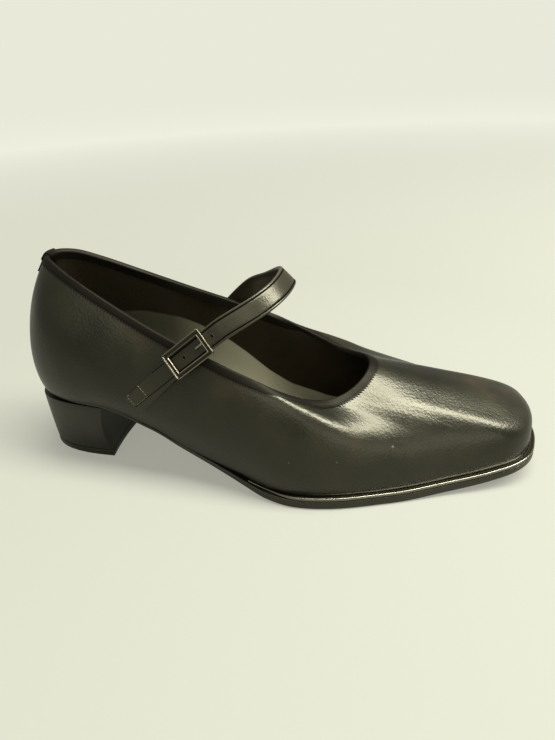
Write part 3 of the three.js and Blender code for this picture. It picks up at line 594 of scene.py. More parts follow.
@dataclass(frozen=True)
class Leather:
    """Smooth calf leather: dyed through, finished with a satin polish, with a fine closed grain."""

    name: str
    dark: str = "#0d0d08"
    light: str = "#18170f"
    worn: str = "#281f15"
    roughness: float = 0.33
    grain_mm: float = 1.1
    grain_depth_mm: float = 0.06
    ior: float = 1.5
    specular: float = 0.5
    coat: float = 0.05
    dust: float = 0.0
    sheen_panel: str = ""
    marks: tuple[tuple[float, float, float, float], ...] = ()

    def build(self) -> bpy.types.Material:
        """Make the material: slow tone changes, fine grain, an uneven polish, dust and marks.

        Returns:
            The new material.
        """
        material = bpy.data.materials.new(self.name)
        tree = empty_tree(material)
        place = add_node(tree, "ShaderNodeTexCoord").outputs["Object"]
        slow = add_node(tree, "ShaderNodeTexNoise", {"Scale": 1 / (TONE_MM * MM), "Detail": 3.0},
                        {"Vector": place}).outputs["Fac"]
        tones = (self.dark, self.light, self.worn)
        colour = add_node(tree, "ShaderNodeValToRGB", links={"Fac": slow},
                          stops=tuple(zip(TONE_STOPS, map(linear, tones)))).outputs["Color"]
        if self.dust:
            colour = add_node(tree, "ShaderNodeMix", {"data_type": "RGBA", 7: linear(DUST_COLOUR)},
                              {0: self.specks(tree, place), 6: colour}).outputs[2]
        # Pale grey low down inside, its lightness partly a painted sheen
        if self.sheen_panel:
            colour = self.grey_area_with_painted_sheen(tree, place, colour)
        for mark in self.marks:
            colour = add_node(tree, "ShaderNodeMix", {"data_type": "RGBA", 7: linear(RUB_COLOUR)},
                              {0: self.rub(tree, place, mark), 6: colour}).outputs[2]
        polish = add_node(tree, "ShaderNodeMapRange",
                          {"From Min": 0.3, "From Max": 0.7,
                           "To Min": self.roughness - 0.04, "To Max": self.roughness + 0.08},
                          {"Value": slow})
        shader = add_node(tree, "ShaderNodeBsdfPrincipled",
                          {"IOR": self.ior, "Coat Weight": self.coat, "Coat Roughness": 0.22,
                           "Specular IOR Level": self.specular,
                           "Specular Tint": linear(GLOSS_TINT)},
                          {"Base Color": colour, "Normal": self.grain(tree, place),
                           "Roughness": polish.outputs["Result"]})
        add_node(tree, "ShaderNodeOutputMaterial", links={"Surface": shader.outputs["BSDF"]})
        return material

    def grain(self, tree: bpy.types.NodeTree,
              place: bpy.types.NodeSocket) -> bpy.types.NodeSocket:
        """Raise the grain: closed cells, fine pores and wider folds.

        Args:
            tree: Node tree of the material.
            place: Object coordinates.

        Returns:
            The bumped normal.
        """
        cells = add_node(tree, "ShaderNodeTexVoronoi",
                         {"Scale": 1 / (self.grain_mm * MM), "Randomness": 1.0},
                         {"Vector": place})
        pores = add_node(tree, "ShaderNodeTexNoise",
                         {"Scale": 1 / (PORE_RATIO * self.grain_mm * MM), "Detail": 4.0},
                         {"Vector": place})
        folds = add_node(tree, "ShaderNodeTexNoise",
                         {"Scale": 1 / (FOLD_RATIO * self.grain_mm * MM), "Detail": 2.0},
                         {"Vector": place})
        fine = add_node(tree, "ShaderNodeMath", {"operation": "ADD"},
                        {0: cells.outputs["Distance"], 1: pores.outputs["Fac"]})
        relief = add_node(tree, "ShaderNodeMath", {"operation": "MULTIPLY_ADD", 1: FOLD_WEIGHT},
                          {0: folds.outputs["Fac"], 2: fine.outputs[0]})
        return add_node(tree, "ShaderNodeBump",
                        {"Strength": 1.0, "Distance": self.grain_depth_mm * MM},
                        {"Height": relief.outputs[0]}).outputs["Normal"]

    def grey_area_with_painted_sheen(self, tree: bpy.types.NodeTree, place: bpy.types.NodeSocket,
                  colour: bpy.types.NodeSocket) -> bpy.types.NodeSocket:
        """Colour the leather grey under PANEL_ROWS, with a painted sheen lighter towards the toe.

        Args:
            tree: Node tree of the material.
            place: Object coordinates.
            colour: Colour over the line.

        Returns:
            The colour of both.
        """
        over = add_node(tree, "ShaderNodeAttribute", {"attribute_name": "over_panel"})
        low = add_node(tree, "ShaderNodeMapRange",
                       {"From Min": -GREY_EDGE_MM, "From Max": GREY_EDGE_MM,
                        "To Min": 1.0, "To Max": 0.0}, {"Value": over.outputs["Fac"]})
        along = add_node(tree, "ShaderNodeSeparateXYZ", links={"Vector": place})
        front = add_node(tree, "ShaderNodeMapRange",
                         {"From Min": SHEEN_TURN_MM[0] * MM, "From Max": SHEEN_TURN_MM[1] * MM},
                         {"Value": along.outputs["X"]})
        grey = add_node(tree, "ShaderNodeMix",
                        {"data_type": "RGBA", 6: linear(REAR_GREY_DIM_SHEEN), 7: linear(self.sheen_panel)},
                        {0: front.outputs["Result"]})
        return add_node(tree, "ShaderNodeMix", {"data_type": "RGBA"},
                        {0: low.outputs["Result"], 6: colour, 7: grey.outputs[2]}).outputs[2]

    def specks(self, tree: bpy.types.NodeTree,
               place: bpy.types.NodeSocket) -> bpy.types.NodeSocket:
        """Scatter sparse dust specks, about 0.3 mm across.

        Args:
            tree: Node tree of the material.
            place: Object coordinates.

        Returns:
            Their mask.
        """
        spots = add_node(tree, "ShaderNodeTexVoronoi", {"Scale": 1 / (SPECK_CELL_MM * MM)},
                         {"Vector": place})
        near = add_node(tree, "ShaderNodeMapRange",
                        {"From Min": SPECK_RADII[0], "From Max": SPECK_RADII[1],
                         "To Min": 1.0, "To Max": 0.0}, {"Value": spots.outputs["Distance"]})
        chance = add_node(tree, "ShaderNodeSeparateColor",
                          links={"Color": spots.outputs["Color"]})
        kept = add_node(tree, "ShaderNodeMath", {"operation": "GREATER_THAN", 1: 1 - self.dust},
                        {0: chance.outputs["Red"]})
        return add_node(tree, "ShaderNodeMath", {"operation": "MULTIPLY"},
                        {0: near.outputs["Result"], 1: kept.outputs[0]}).outputs[0]

    @staticmethod
    def rub(tree: bpy.types.NodeTree, place: bpy.types.NodeSocket,
            mark: tuple[float, float, float, float]) -> bpy.types.NodeSocket:
        """Rub one small broken mark, strongest in its middle.

        Args:
            tree: Node tree of the material.
            place: Object coordinates.
            mark: Its place and its length in metres.

        Returns:
            Its mask.
        """
        away = add_node(tree, "ShaderNodeVectorMath", {"operation": "DISTANCE", 1: mark[:3]},
                        {0: place})
        broken = add_node(tree, "ShaderNodeTexNoise", {"Scale": 1 / (RUB_GRAIN_MM * MM)},
                          {"Vector": place})
        near = add_node(tree, "ShaderNodeMapRange",
                        {"From Min": 0.2 * mark[3], "From Max": mark[3],
                         "To Min": 1.2, "To Max": 0.0}, {"Value": away.outputs["Value"]})
        return add_node(tree, "ShaderNodeMath", {"operation": "MULTIPLY", "use_clamp": True},
                        {0: near.outputs["Result"], 1: broken.outputs["Fac"]}).outputs[0]


@dataclass(frozen=True)
class DarkSteel:
    """Stamped steel, blackened, with its rims painted lighter as a highlight."""

    name: str
    dark: str = "#3f3b32"
    # Colour of the rims: a painted highlight
    bright: str = "#c4bda9"
    roughness: float = 0.30

    def build(self) -> bpy.types.Material:
        """Make the material: a darkened metal, painted brighter on its outward edges as a highlight.

        Returns:
            The new material.
        """
        material = bpy.data.materials.new(self.name)
        tree = empty_tree(material)
        place = add_node(tree, "ShaderNodeTexCoord").outputs["Object"]
        smears = add_node(tree, "ShaderNodeTexNoise", {"Scale": 1 / (2.5 * MM), "Detail": 4.0},
                          {"Vector": place})
        # Rims lighter by their pointiness: a painted highlight
        edges = add_node(tree, "ShaderNodeNewGeometry").outputs["Pointiness"]
        worn = add_node(tree, "ShaderNodeMapRange", {"From Min": 0.49, "From Max": 0.60},
                        {"Value": edges})
        tone = add_node(tree, "ShaderNodeMix",
                        {"data_type": "RGBA", 6: linear(self.dark), 7: linear(self.bright)},
                        {0: worn.outputs["Result"]})
        polish = add_node(tree, "ShaderNodeMapRange",
                          {"To Min": self.roughness - 0.08, "To Max": self.roughness + 0.12},
                          {"Value": smears.outputs["Fac"]})
        shader = add_node(tree, "ShaderNodeBsdfPrincipled", {"Metallic": 1.0},
                          {"Base Color": tone.outputs[2], "Roughness": polish.outputs["Result"]})
        add_node(tree, "ShaderNodeOutputMaterial", links={"Surface": shader.outputs["BSDF"]})
        return material


def grid_faces(rows: int, columns: int, wrap_rows: bool, wrap_columns: bool) -> Faces:
    """Quads over a grid of points numbered row by row.

    Args:
        rows: Number of rows.
        columns: Number of points in a row.
        wrap_rows: Join the last row to the first.
        wrap_columns: Join each row's last point to its first.

    Returns:
        The quads' point numbers.
    """
    faces = []
    for row in range(rows if wrap_rows else rows - 1):
        above = (row + 1) % rows
        for column in range(columns if wrap_columns else columns - 1):
            beside = (column + 1) % columns
            faces.append((row * columns + column, row * columns + beside,
                          above * columns + beside, above * columns + column))
    return faces


@dataclass
class Bench:
    """Where pieces are made: it holds the shift to the frame's origin and finishes each mesh."""

    shift: Points
    pieces: list[bpy.types.Object] = field(default_factory=list)

    def mesh(self, name: str, points: Points, faces: Faces,
             materials: list[bpy.types.Material], smooth_angle: float = 40.0,
             slots: list[int] | None = None) -> bpy.types.Object:
        """Make an object from points in millimetres.

        Args:
            name: Its name.
            points: One point a row, in the last's own frame.
            faces: Point numbers of each face.
            materials: Its material slots.
            smooth_angle: Edges sharper than this many degrees stay sharp.
            slots: Material number of each face.

        Returns:
            The new object, at the origin.
        """
        data = bpy.data.meshes.new(name)
        data.from_pydata(((points + self.shift) * MM).tolist(), [], faces)
        for material in materials:
            data.materials.append(material)
        if slots is not None:
            data.polygons.foreach_set("material_index", slots)
        data.update()
        piece = bpy.data.objects.new(name, data)
        bpy.context.scene.collection.objects.link(piece)
        self.smooth(piece, smooth_angle)
        return piece

    @staticmethod
    def select(piece: bpy.types.Object) -> None:
        """Make a piece the only selected one, and active."""
        bpy.ops.object.select_all(action="DESELECT")
        piece.select_set(True)
        bpy.context.view_layer.objects.active = piece

    def smooth(self, piece: bpy.types.Object, angle: float = 50.0) -> None:
        """Shade a piece smooth, but for edges sharper than an angle in degrees."""
        self.select(piece)
        bpy.ops.object.shade_smooth_by_angle(angle=math.radians(angle))

    def refine(self, node: str, name: str, slot: Slot, materials: list[bpy.types.Material],
               width: float, sharper: float) -> bpy.types.Object:
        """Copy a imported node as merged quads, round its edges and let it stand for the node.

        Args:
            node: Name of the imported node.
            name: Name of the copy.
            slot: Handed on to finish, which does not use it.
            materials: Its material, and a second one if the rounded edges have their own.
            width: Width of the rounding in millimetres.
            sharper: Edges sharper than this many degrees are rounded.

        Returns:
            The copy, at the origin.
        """
        piece = bpy.data.objects.new(name, bpy.data.objects[node].data.copy())
        bpy.context.scene.collection.objects.link(piece)
        self.select(piece)
        bpy.ops.object.mode_set(mode="EDIT")
        bpy.ops.mesh.select_all(action="SELECT")
        bpy.ops.mesh.remove_doubles(threshold=0.002 * MM)
        bpy.ops.mesh.tris_convert_to_quads(face_threshold=math.radians(40),
                                           shape_threshold=math.radians(60))
        bpy.ops.object.mode_set(mode="OBJECT")
        piece.data.materials.clear()
        for material in materials:
            piece.data.materials.append(material)
        rounding = piece.modifiers.new("rounding", "BEVEL")
        rounding.width = width * MM
        rounding.segments = 3
        rounding.limit_method = "ANGLE"
        rounding.angle_limit = math.radians(sharper)
        rounding.material = 1 if len(materials) > 1 else -1
        bpy.ops.object.modifier_apply(modifier=rounding.name)
        self.smooth(piece)
        return self.finish(piece, slot, node)

    def finish(self, piece: bpy.types.Object, slot: Slot, *nodes: str) -> bpy.types.Object:
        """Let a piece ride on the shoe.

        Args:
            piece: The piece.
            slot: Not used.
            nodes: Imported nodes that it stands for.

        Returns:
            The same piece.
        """
        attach(piece, "root")
        if nodes:
            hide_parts(*nodes)
        self.pieces.append(piece)
        log.info("%s: %d faces", piece.name, len(piece.data.polygons))
        return piece


@dataclass
class Finishes:
    """The materials of the shoe, built once from the shift that places its marks."""

    shift: Points

    def __post_init__(self) -> None:
        """Build each material."""
        marks = tuple((*((np.array(row[:3]) + self.shift) * MM).tolist(), row[3] * MM)
                      for row in MARK_ROWS.values())
        # Dyed and polished calf: near black, with a soft bright gloss, browner where it is rubbed
        self.upper = Leather("black_calf_leather_satin_polished", dust=0.22, marks=marks).build()
        # Pared thin and unpolished: a dull black line that swallows the light
        self.binding = Leather("black_binding_leather_skived", dark="#0b0a07", light="#12100c",
                               worn="#12100c", roughness=0.50, coat=0.0, specular=0.12,
                               grain_depth_mm=0.04, dust=0.1).build()
        # Folded strap leather: greyer than the upper, with an even satin face
        self.strap = Leather("black_strap_leather_edge_folded", dark="#191710", light="#25231a",
                             worn="#25231a", roughness=0.34, grain_mm=0.9,
                             grain_depth_mm=0.04, dust=0.3).build()
        # Unpolished lining: dark brown with a weak gloss, and pale grey low down inside, partly a
        # painted sheen
        self.lining = Leather("dark_lining_leather_unpolished_painted_sheen", dark="#1c160e", light="#271f15",
                              worn="#2d2317", roughness=0.38, coat=0.0, specular=0.3,
                              sheen_panel="#b1ae98", dust=0.15).build()
        # Insole leather: mid grey and satin
        self.sock = Leather("grey_insole_leather_satin", dark="#413f35", light="#545144",
                            worn="#534b3c", roughness=0.34, dust=0.25).build()
        # Inked sole edge, rubbed with wax: brown black with a tight gloss and a wider grain
        self.edge = Leather("sole_leather_inked_and_burnished", dark="#131109", light="#1f1c15",
                            worn="#241d14", roughness=0.30, grain_mm=1.4).build()
        # Waxed welt: almost no grain and a hard coat, so its bead shows as a bright thread
        self.bead = Leather("welt_leather_waxed", dark="#14120d", light="#1e1b15",
                            worn="#1e1b15", roughness=0.22, grain_depth_mm=0.012,
                            ior=2.3, coat=0.5).build()
        # The upper's calf drawn over the heel: flatter, with a blurred gloss
        self.heel = Leather("black_calf_leather_heel_cover", dark="#0d0d08", light="#15160f",
                            worn="#1e1910", roughness=0.38, grain_depth_mm=0.04,
                            dust=0.2).build()
        # Cut side of the pinked teeth: bare brown fibre, matt
        self.raw_edge = Leather("leather_cut_edge_pinked", dark="#2b271e", light="#3d382c",
                                worn="#3d382c", roughness=0.6, coat=0.0).build()
        # Painted shade for bores and pressed lines: black, with no gloss at all
        self.hole = Leather("leather_bore_shadowed", dark="#0a0907", light="#0f0d0a",
                            worn="#0f0d0a", roughness=0.8, coat=0.0,
                            specular=0.0).build()
        # Folded edges of strap and tab: lighter as a painted highlight, so they draw a thin line
        self.fold = Leather("strap_leather_folded_edge_painted_highlight", dark="#332f27", light="#443f34",
                            worn="#443f34", roughness=0.34, grain_depth_mm=0.02).build()
        # Twisted thread: grey brown and dull, with a half-millimetre grain for its twist
        self.thread = Leather("polyester_thread_twisted", dark="#3a362b", light="#6b6553",
                              worn="#8b8674", roughness=0.45, grain_mm=0.5, coat=0.0).build()
        # Blackened steel: dark, with a painted highlight along the rims
        self.steel = DarkSteel("stamped_steel_blackened_painted_rim_highlight").build()


@dataclass
class Bottom:
    """Outsole, welt, heel, its top piece and the insole."""

    last: Last
    bench: Bench
    finishes: Finishes
    around: int = 360
    edge_rounding: float = 1.2
    edge_steps: int = 7
    top_edge_inset: float = 0.05
    top_edge_share: float = 0.2
    insole_thickness: float = 2.0
    insole_steps: int = 5
    welt_height: float = 1.5
    welt_bead: float = 0.3
    welt_start_section: float = 6.3
    welt_steps: int = 260
    welt_fade: float = 0.03
    welt_end_share: float = 0.35
    welt_least_width: float = 0.6
    heel_rounding: float = 0.35
    heel_sharper: float = 42.0

    def plate(self, name: str, rings: list[Points], finish: bpy.types.Material) -> bpy.types.Object:
        """Close a stack of rings at its top and bottom, from side to side.

        Args:
            name: Name of the piece.
            rings: Rings of points from top to bottom.
            finish: Its material.

        Returns:
            The new object.
        """
        count = len(rings[0])
        faces = [face[::-1] for face in grid_faces(len(rings), count, False, True)]
        low = (len(rings) - 1) * count
        for index in range(count // 2):
            left, right = (count - index) % count, (count - index - 1) % count
            corners = tuple(dict.fromkeys((index, index + 1, right, left)))
            faces.append(corners)
            faces.append(tuple(low + i for i in reversed(corners)))
        return self.bench.mesh(name, np.vstack(rings), faces, [finish])

    def build(self) -> None:
        """Make the pieces under the foot."""
        self.outsole()
        self.insole()
        self.welt()
        for node, name, slot, finish in (
                ("heel_block", "heel_cover", Slot.UPPER, self.finishes.heel),
                ("top_lift", "heel_top_piece", Slot.SOLE, self.finishes.edge)):
            self.bench.refine(node, name, slot, [finish], self.heel_rounding, self.heel_sharper)

    def outsole(self) -> None:
        """Outsole with a rounded, burnished edge."""
        last = self.last
        shares = np.arange(self.around) / self.around
        x = last.feather(shares)[:, 0]
        rounding = np.minimum(self.edge_rounding, last.sole_depth(x) / 2)
        top, bottom = last.sole_top(x), last.sole_bottom(x)
        ledge = last.ledge(x)
        rings = [last.edge_point(shares, ledge - self.edge_rounding / 4, top),
                 last.edge_point(shares, ledge - self.top_edge_inset,
                                 top - rounding * self.top_edge_share)]
        for turn in np.linspace(0, math.pi / 2, self.edge_steps):
            inset = self.edge_rounding * (1 - math.cos(turn))
            rings.append(last.edge_point(
                shares, ledge - inset, bottom + rounding * (1 - math.sin(turn))))
        piece = self.plate("outsole_leather", rings, self.finishes.edge)
        self.bench.finish(piece, Slot.SOLE, "outsole")

    def insole(self) -> None:
        """Insole covered with sock leather."""
        last = self.last
        shares = np.arange(self.around) / self.around
        base = last.sole_top(last.feather(shares)[:, 0]) + last.fit_gap
        inside = -last.upper_wall - last.fit_gap
        rounding = self.insole_thickness / 4
        rings = []
        for turn in np.linspace(math.pi / 2, 0, self.insole_steps):
            rings.append(last.edge_point(
                shares, inside - rounding * (1 - math.cos(turn)),
                base + self.insole_thickness - rounding * (1 - math.sin(turn))))
        rings.append(last.edge_point(shares, inside, base))
        piece = self.plate("insole_sock", rings, self.finishes.sock)
        self.bench.finish(piece, Slot.LINING, "insole")

    def welt(self) -> None:
        """Narrow welt round the forepart, with a bead along its outer edge; its ends fade."""
        last, steps, bead = self.last, self.welt_steps, self.welt_bead
        start = self.welt_start_section / len(last.sections)
        shares = start + (1 - 2 * start) * np.arange(steps + 1) / steps
        foot = last.feather(shares)
        top = catmull_rom(last.top_points, shares, True, True)[:, 2]
        near_end = np.minimum(shares - start, 1 - start - shares) / self.welt_fade
        full = self.welt_end_share + (1 - self.welt_end_share) * smoothstep(near_end, 0, 1)
        sole = last.sole_top(foot[:, 0])
        tall = self.welt_height * full
        inner = last.fit_gap + last.swell(shares, (tall + last.fit_gap) / (top - sole))
        outer = np.maximum(last.ledge(foot[:, 0]) * full, inner + self.welt_least_width)
        groove = WELT_ROWS["top"][0]
        lines = [(inner, 0.0)]
        for inset, rise in WELT_ROWS.values():
            lines.append((outer - inset * bead * (full if inset > groove else 1.0), rise))
        lines.append((inner, WELT_INNER_RISE))
        base = sole + last.fit_gap
        rings = [last.edge_point(shares, out, base + tall * rise) for out, rise in lines]
        count = len(lines)
        points = np.stack(rings, axis=1).reshape(-1, 3)
        faces = [face[::-1] for face in grid_faces(steps + 1, count, False, True)]
        faces.append(tuple(range(count)))
        faces.append(tuple(steps * count + i for i in reversed(range(count))))
        piece = self.bench.mesh("welt_strip", points, faces, [self.finishes.bead], 50)
        self.bench.finish(piece, Slot.SOLE, "welt")


@dataclass
class Upper:
    """Vamp and quarters in one, with the lining, collar binding, pinked edge and back tab."""

    last: Last
    bench: Bench
    finishes: Finishes
    around: int = 450
    outer_rows: int = 72
    inner_rows: int = 26
    binding_thickness: float = 0.5
    binding_outer: float = 2.4
    binding_inner: float = 4.0
    tooth_pitch: float = 1.4
    tooth_depth: float = 1.3
    tooth_root: float = 0.1
    tooth_overlap: float = 0.6
    tooth_lift: float = 0.05
    tooth_edge: float = 0.36
    tooth_face: float = 0.40
    tab_width: float = 7.0
    tab_depth: float = 9.0
    tab_thickness: float = 0.6
    crease_samples: int = 25
    crease_end: float = 0.04
    calm_from: float = 0.86
    slow_wave: float = 0.05
    quick_wave: float = 0.03

    def build(self) -> None:
        """Make the pieces of the upper."""
        self.shell()
        self.binding()
        self.pinked_edge()
        self.back_tab()

    def rows(self, shares: Points, count: int) -> Points:
        """Climbs that spread rows up the wall evenly by length."""
        length = self.last.wall_length(shares)[:, None]
        return self.last.climb_below(shares, length * np.linspace(1, 0, count)[None, :])

    def creases(self, points: Points) -> Points:
        """Depth of the creases at points of the outer face.

        Args:
            points: A row a share and a column a climb.

        Returns:
            Depths in millimetres, in the same layout.
        """
        depth = np.zeros(points.shape[:2])
        part = np.linspace(0, 1, self.crease_samples)
        taper = np.sin(math.pi * np.clip(part, self.crease_end, 1 - self.crease_end))
        for row in CREASE_ROWS.values():
            crease = dict(zip(CREASE_COLUMNS, row))
            shares = crease["start_share"] + part * (crease["end_share"] - crease["start_share"])
            climbs = crease["start_climb"] + part * (crease["end_climb"] - crease["start_climb"])
            line = self.last.wall(shares, climbs[:, None])[:, 0]
            away = np.linalg.norm(points[:, :, None] - line, axis=3)
            nearest = away.argmin(axis=2)
            depth += crease["deep"] * taper[nearest] * np.exp(
                -(away.min(axis=2) / crease["wide"]) ** 2)
        return depth

    def undulation(self, points: Points) -> Points:
        """Slight unevenness of the lasted leather, a slow wave and a quick one.

        Args:
            points: A row a share and a column a climb.

        Returns:
            Depths in millimetres, in the same layout.
        """
        x, y, z = points[..., 0], points[..., 1], points[..., 2]
        return (self.slow_wave * np.sin(x / 7.3 + y / 5.1) * np.sin(z / 6.7 + x / 13.0)
                + self.quick_wave * np.sin(x / 3.9 - y / 6.3 + 1.3) * np.sin(z / 4.1 - y / 8.7))

    def shell(self) -> None:
        """Outer leather and lining as one closed shell, with its creases fading at the collar."""
        last = self.last
        shares = np.arange(self.around) / self.around
        climbs = self.rows(shares, self.outer_rows)
        outside = last.wall(shares, climbs)
        sunk = self.creases(outside) + self.undulation(outside)
        sunk *= smoothstep(np.linspace(0, 1, self.outer_rows), 1.0, self.calm_from)[None, :]
        outside = outside - last.wall_normal(shares, climbs) * sunk[..., None]
        inner_climbs = self.rows(shares, self.inner_rows)[:, ::-1]
        inner_base = last.wall(shares, inner_climbs)
        normals = last.wall_normal(shares, inner_climbs)
        depth = np.linalg.norm(inner_base - inner_base[:, :1], axis=2)
        wall = last.edge_wall + (last.upper_wall - last.edge_wall) * np.clip(
            depth / last.skive_depth, 0, 1)
        normals[:, -1, 2] = 0
        normals[:, -1] = unit(normals[:, -1])
        inside = inner_base - normals * wall[..., None]
        points = np.concatenate([outside, inside], axis=1).transpose(1, 0, 2)
        rows = self.outer_rows + self.inner_rows
        faces = grid_faces(rows, self.around, True, True)
        slots = [0 if row < self.outer_rows else 1
                 for row in range(rows) for _ in range(self.around)]
        piece = self.bench.mesh("upper_shell", points.reshape(-1, 3), faces,
                                [self.finishes.upper, self.finishes.lining], 60, slots)
        # Height over the edge of the pale grey area, which carries a painted sheen
        flat = points.reshape(-1, 3)
        places, heights = np.array(PANEL_ROWS).T
        edge = np.interp(flat[:, 0] / last.sole_length, places, heights)
        above = piece.data.attributes.new("over_panel", "FLOAT", "POINT")
        above.data.foreach_set("value", flat[:, 2] - last.sole_top(flat[:, 0]) - edge)
        self.bench.finish(piece, Slot.UPPER, "upper")

    def fold(self, outer_leg: list[tuple[float, float]], thickness: float,
             inner_depth: float) -> list[tuple[bool, float, float]]:
        """Section of a strip folded over the collar, as (inside, down, out) corners.

        Args:
            outer_leg: Depth and gap to the upper, from its end up to the edge.
            thickness: Thickness of the strip.
            inner_depth: Depth of its inner leg.

        Returns:
            The closed section.
        """
        near = outer_leg[-1][1]
        far = near + thickness
        arc = [(math.sin(a) * far, math.cos(a) * far) for a in np.linspace(0, math.pi / 2, 5)]
        corner = near * math.sqrt(0.5)
        return [
            *[(False, down, gap + thickness) for down, gap in outer_leg[:-1]],
            *[(False, -rise, out) for rise, out in arc],
            *[(True, -rise, out) for rise, out in reversed(arc)],
            (True, inner_depth / 2, far),
            (True, inner_depth, far),
            (True, inner_depth, near),
            (True, -corner, corner),
            (False, -corner, corner),
            *[(False, down, gap) for down, gap in reversed(outer_leg[:-1])],
        ]

    def folded(self, name: str, shares: Points, section: list[tuple[bool, float, float]],
               closed: bool) -> bpy.types.Object:
        """Run a folded section round the collar.

        Args:
            name: Name of the piece.
            shares: Places round the loop.
            section: Corners as fold() gives them.
            closed: Join the last place to the first.

        Returns:
            The new object.
        """
        lines = [self.last.collar_point(shares, *corner) for corner in section]
        count, steps = len(section), len(shares)
        points = np.stack(lines, axis=0).reshape(-1, 3)
        faces = grid_faces(count, steps, True, closed)
        if not closed:
            faces.append(tuple(row * steps for row in range(count)))
            faces.append(tuple(row * steps + steps - 1 for row in reversed(range(count))))
        return self.bench.mesh(name, points, faces, [self.finishes.binding], 50)

    def binding(self) -> None:
        """Binding folded over the collar edge."""
        shares = np.arange(self.around) / self.around
        section = self.fold([(self.binding_outer, 0.05), (self.binding_outer * 0.9, 0.12),
                             (0.0, 0.3)], self.binding_thickness, self.binding_inner)
        piece = self.folded("collar_binding", shares, section, True)
        self.bench.finish(piece, Slot.UPPER, "topline_binding")

    def pinked_edge(self) -> None:
        """Pinked edge of the leather under the binding: a row of small teeth."""
        last = self.last
        samples = np.arange(2000) / 2000
        loop = last.collar_point(samples, False, self.binding_outer, 0.0)
        lengths = np.concatenate([[0], np.cumsum(
            np.linalg.norm(np.diff(np.vstack([loop, loop[:1]]), axis=0), axis=1))])
        teeth = round(lengths[-1] / self.tooth_pitch)
        shares = np.interp(np.arange(2 * teeth) / (2 * teeth) * lengths[-1], lengths,
                           np.append(samples, 1.0))
        roots, tips, tops = (
            last.collar_point(shares, False, self.binding_outer + down, 0.0)
            for down in (self.tooth_root, self.tooth_depth, -self.tooth_overlap))
        normal = last.collar_strips(shares, False)["normal"]
        lower = np.where((np.arange(2 * teeth) % 2 == 0)[:, None], tips, roots)
        rings = [line + normal * out for line, out in (
            (lower, self.tooth_lift), (lower, self.tooth_edge), (roots, self.tooth_face),
            (tops, self.tooth_face), (tops, self.tooth_lift))]
        faces = [face[::-1] for face in grid_faces(len(rings), 2 * teeth, True, True)]
        slots = [1 if row == 0 else 0 for row in range(len(rings)) for _ in range(2 * teeth)]
        piece = self.bench.mesh("pinked_edge", np.vstack(rings), faces,
                                [self.finishes.binding, self.finishes.raw_edge], 30, slots)
        self.bench.finish(piece, Slot.UPPER)

    def back_tab(self) -> None:
        """Small tab folded over the back of the collar."""
        last = self.last
        probe = np.linspace(0, 1 / len(last.sections), 60)
        across = -catmull_rom(last.top_points, probe, True, True)[:, 1]
        side = float(np.interp(self.tab_width / 2, across, probe))
        shares = np.linspace(-side, side, 13) % 1.0
        over = last.fit_gap + self.binding_thickness + 0.1
        section = self.fold([(self.tab_depth, 0.05),
                             (self.binding_outer + 2 * self.tab_thickness, 0.1),
                             (self.binding_outer + 0.2, over), (0.0, over)],
                            self.tab_thickness, self.binding_inner)
        piece = self.folded("back_tab_leather", shares, section, False)
        self.bench.finish(piece, Slot.UPPER, "back_tab")


@dataclass
class FramePose:
    """Plane of a metal frame: its centre and its directions along, across and out."""

    centre: Points
    long: Points
    wide: Points
    up: Points

    def at(self, along: float, across: float, out: float) -> Points:
        """Point at distances along, across and out of the plane."""
        return self.centre + self.long * along + self.wide * across + self.up * out

    def matrix(self, bench: Bench, out: float) -> Matrix:
        """Placement in metres of a piece modelled flat, lifted out of the plane."""
        spot = (self.centre + self.up * out + bench.shift) * MM
        rows = np.column_stack([self.long, self.wide, self.up, spot])
        return Matrix(np.vstack([rows, [0, 0, 0, 1]]).tolist())


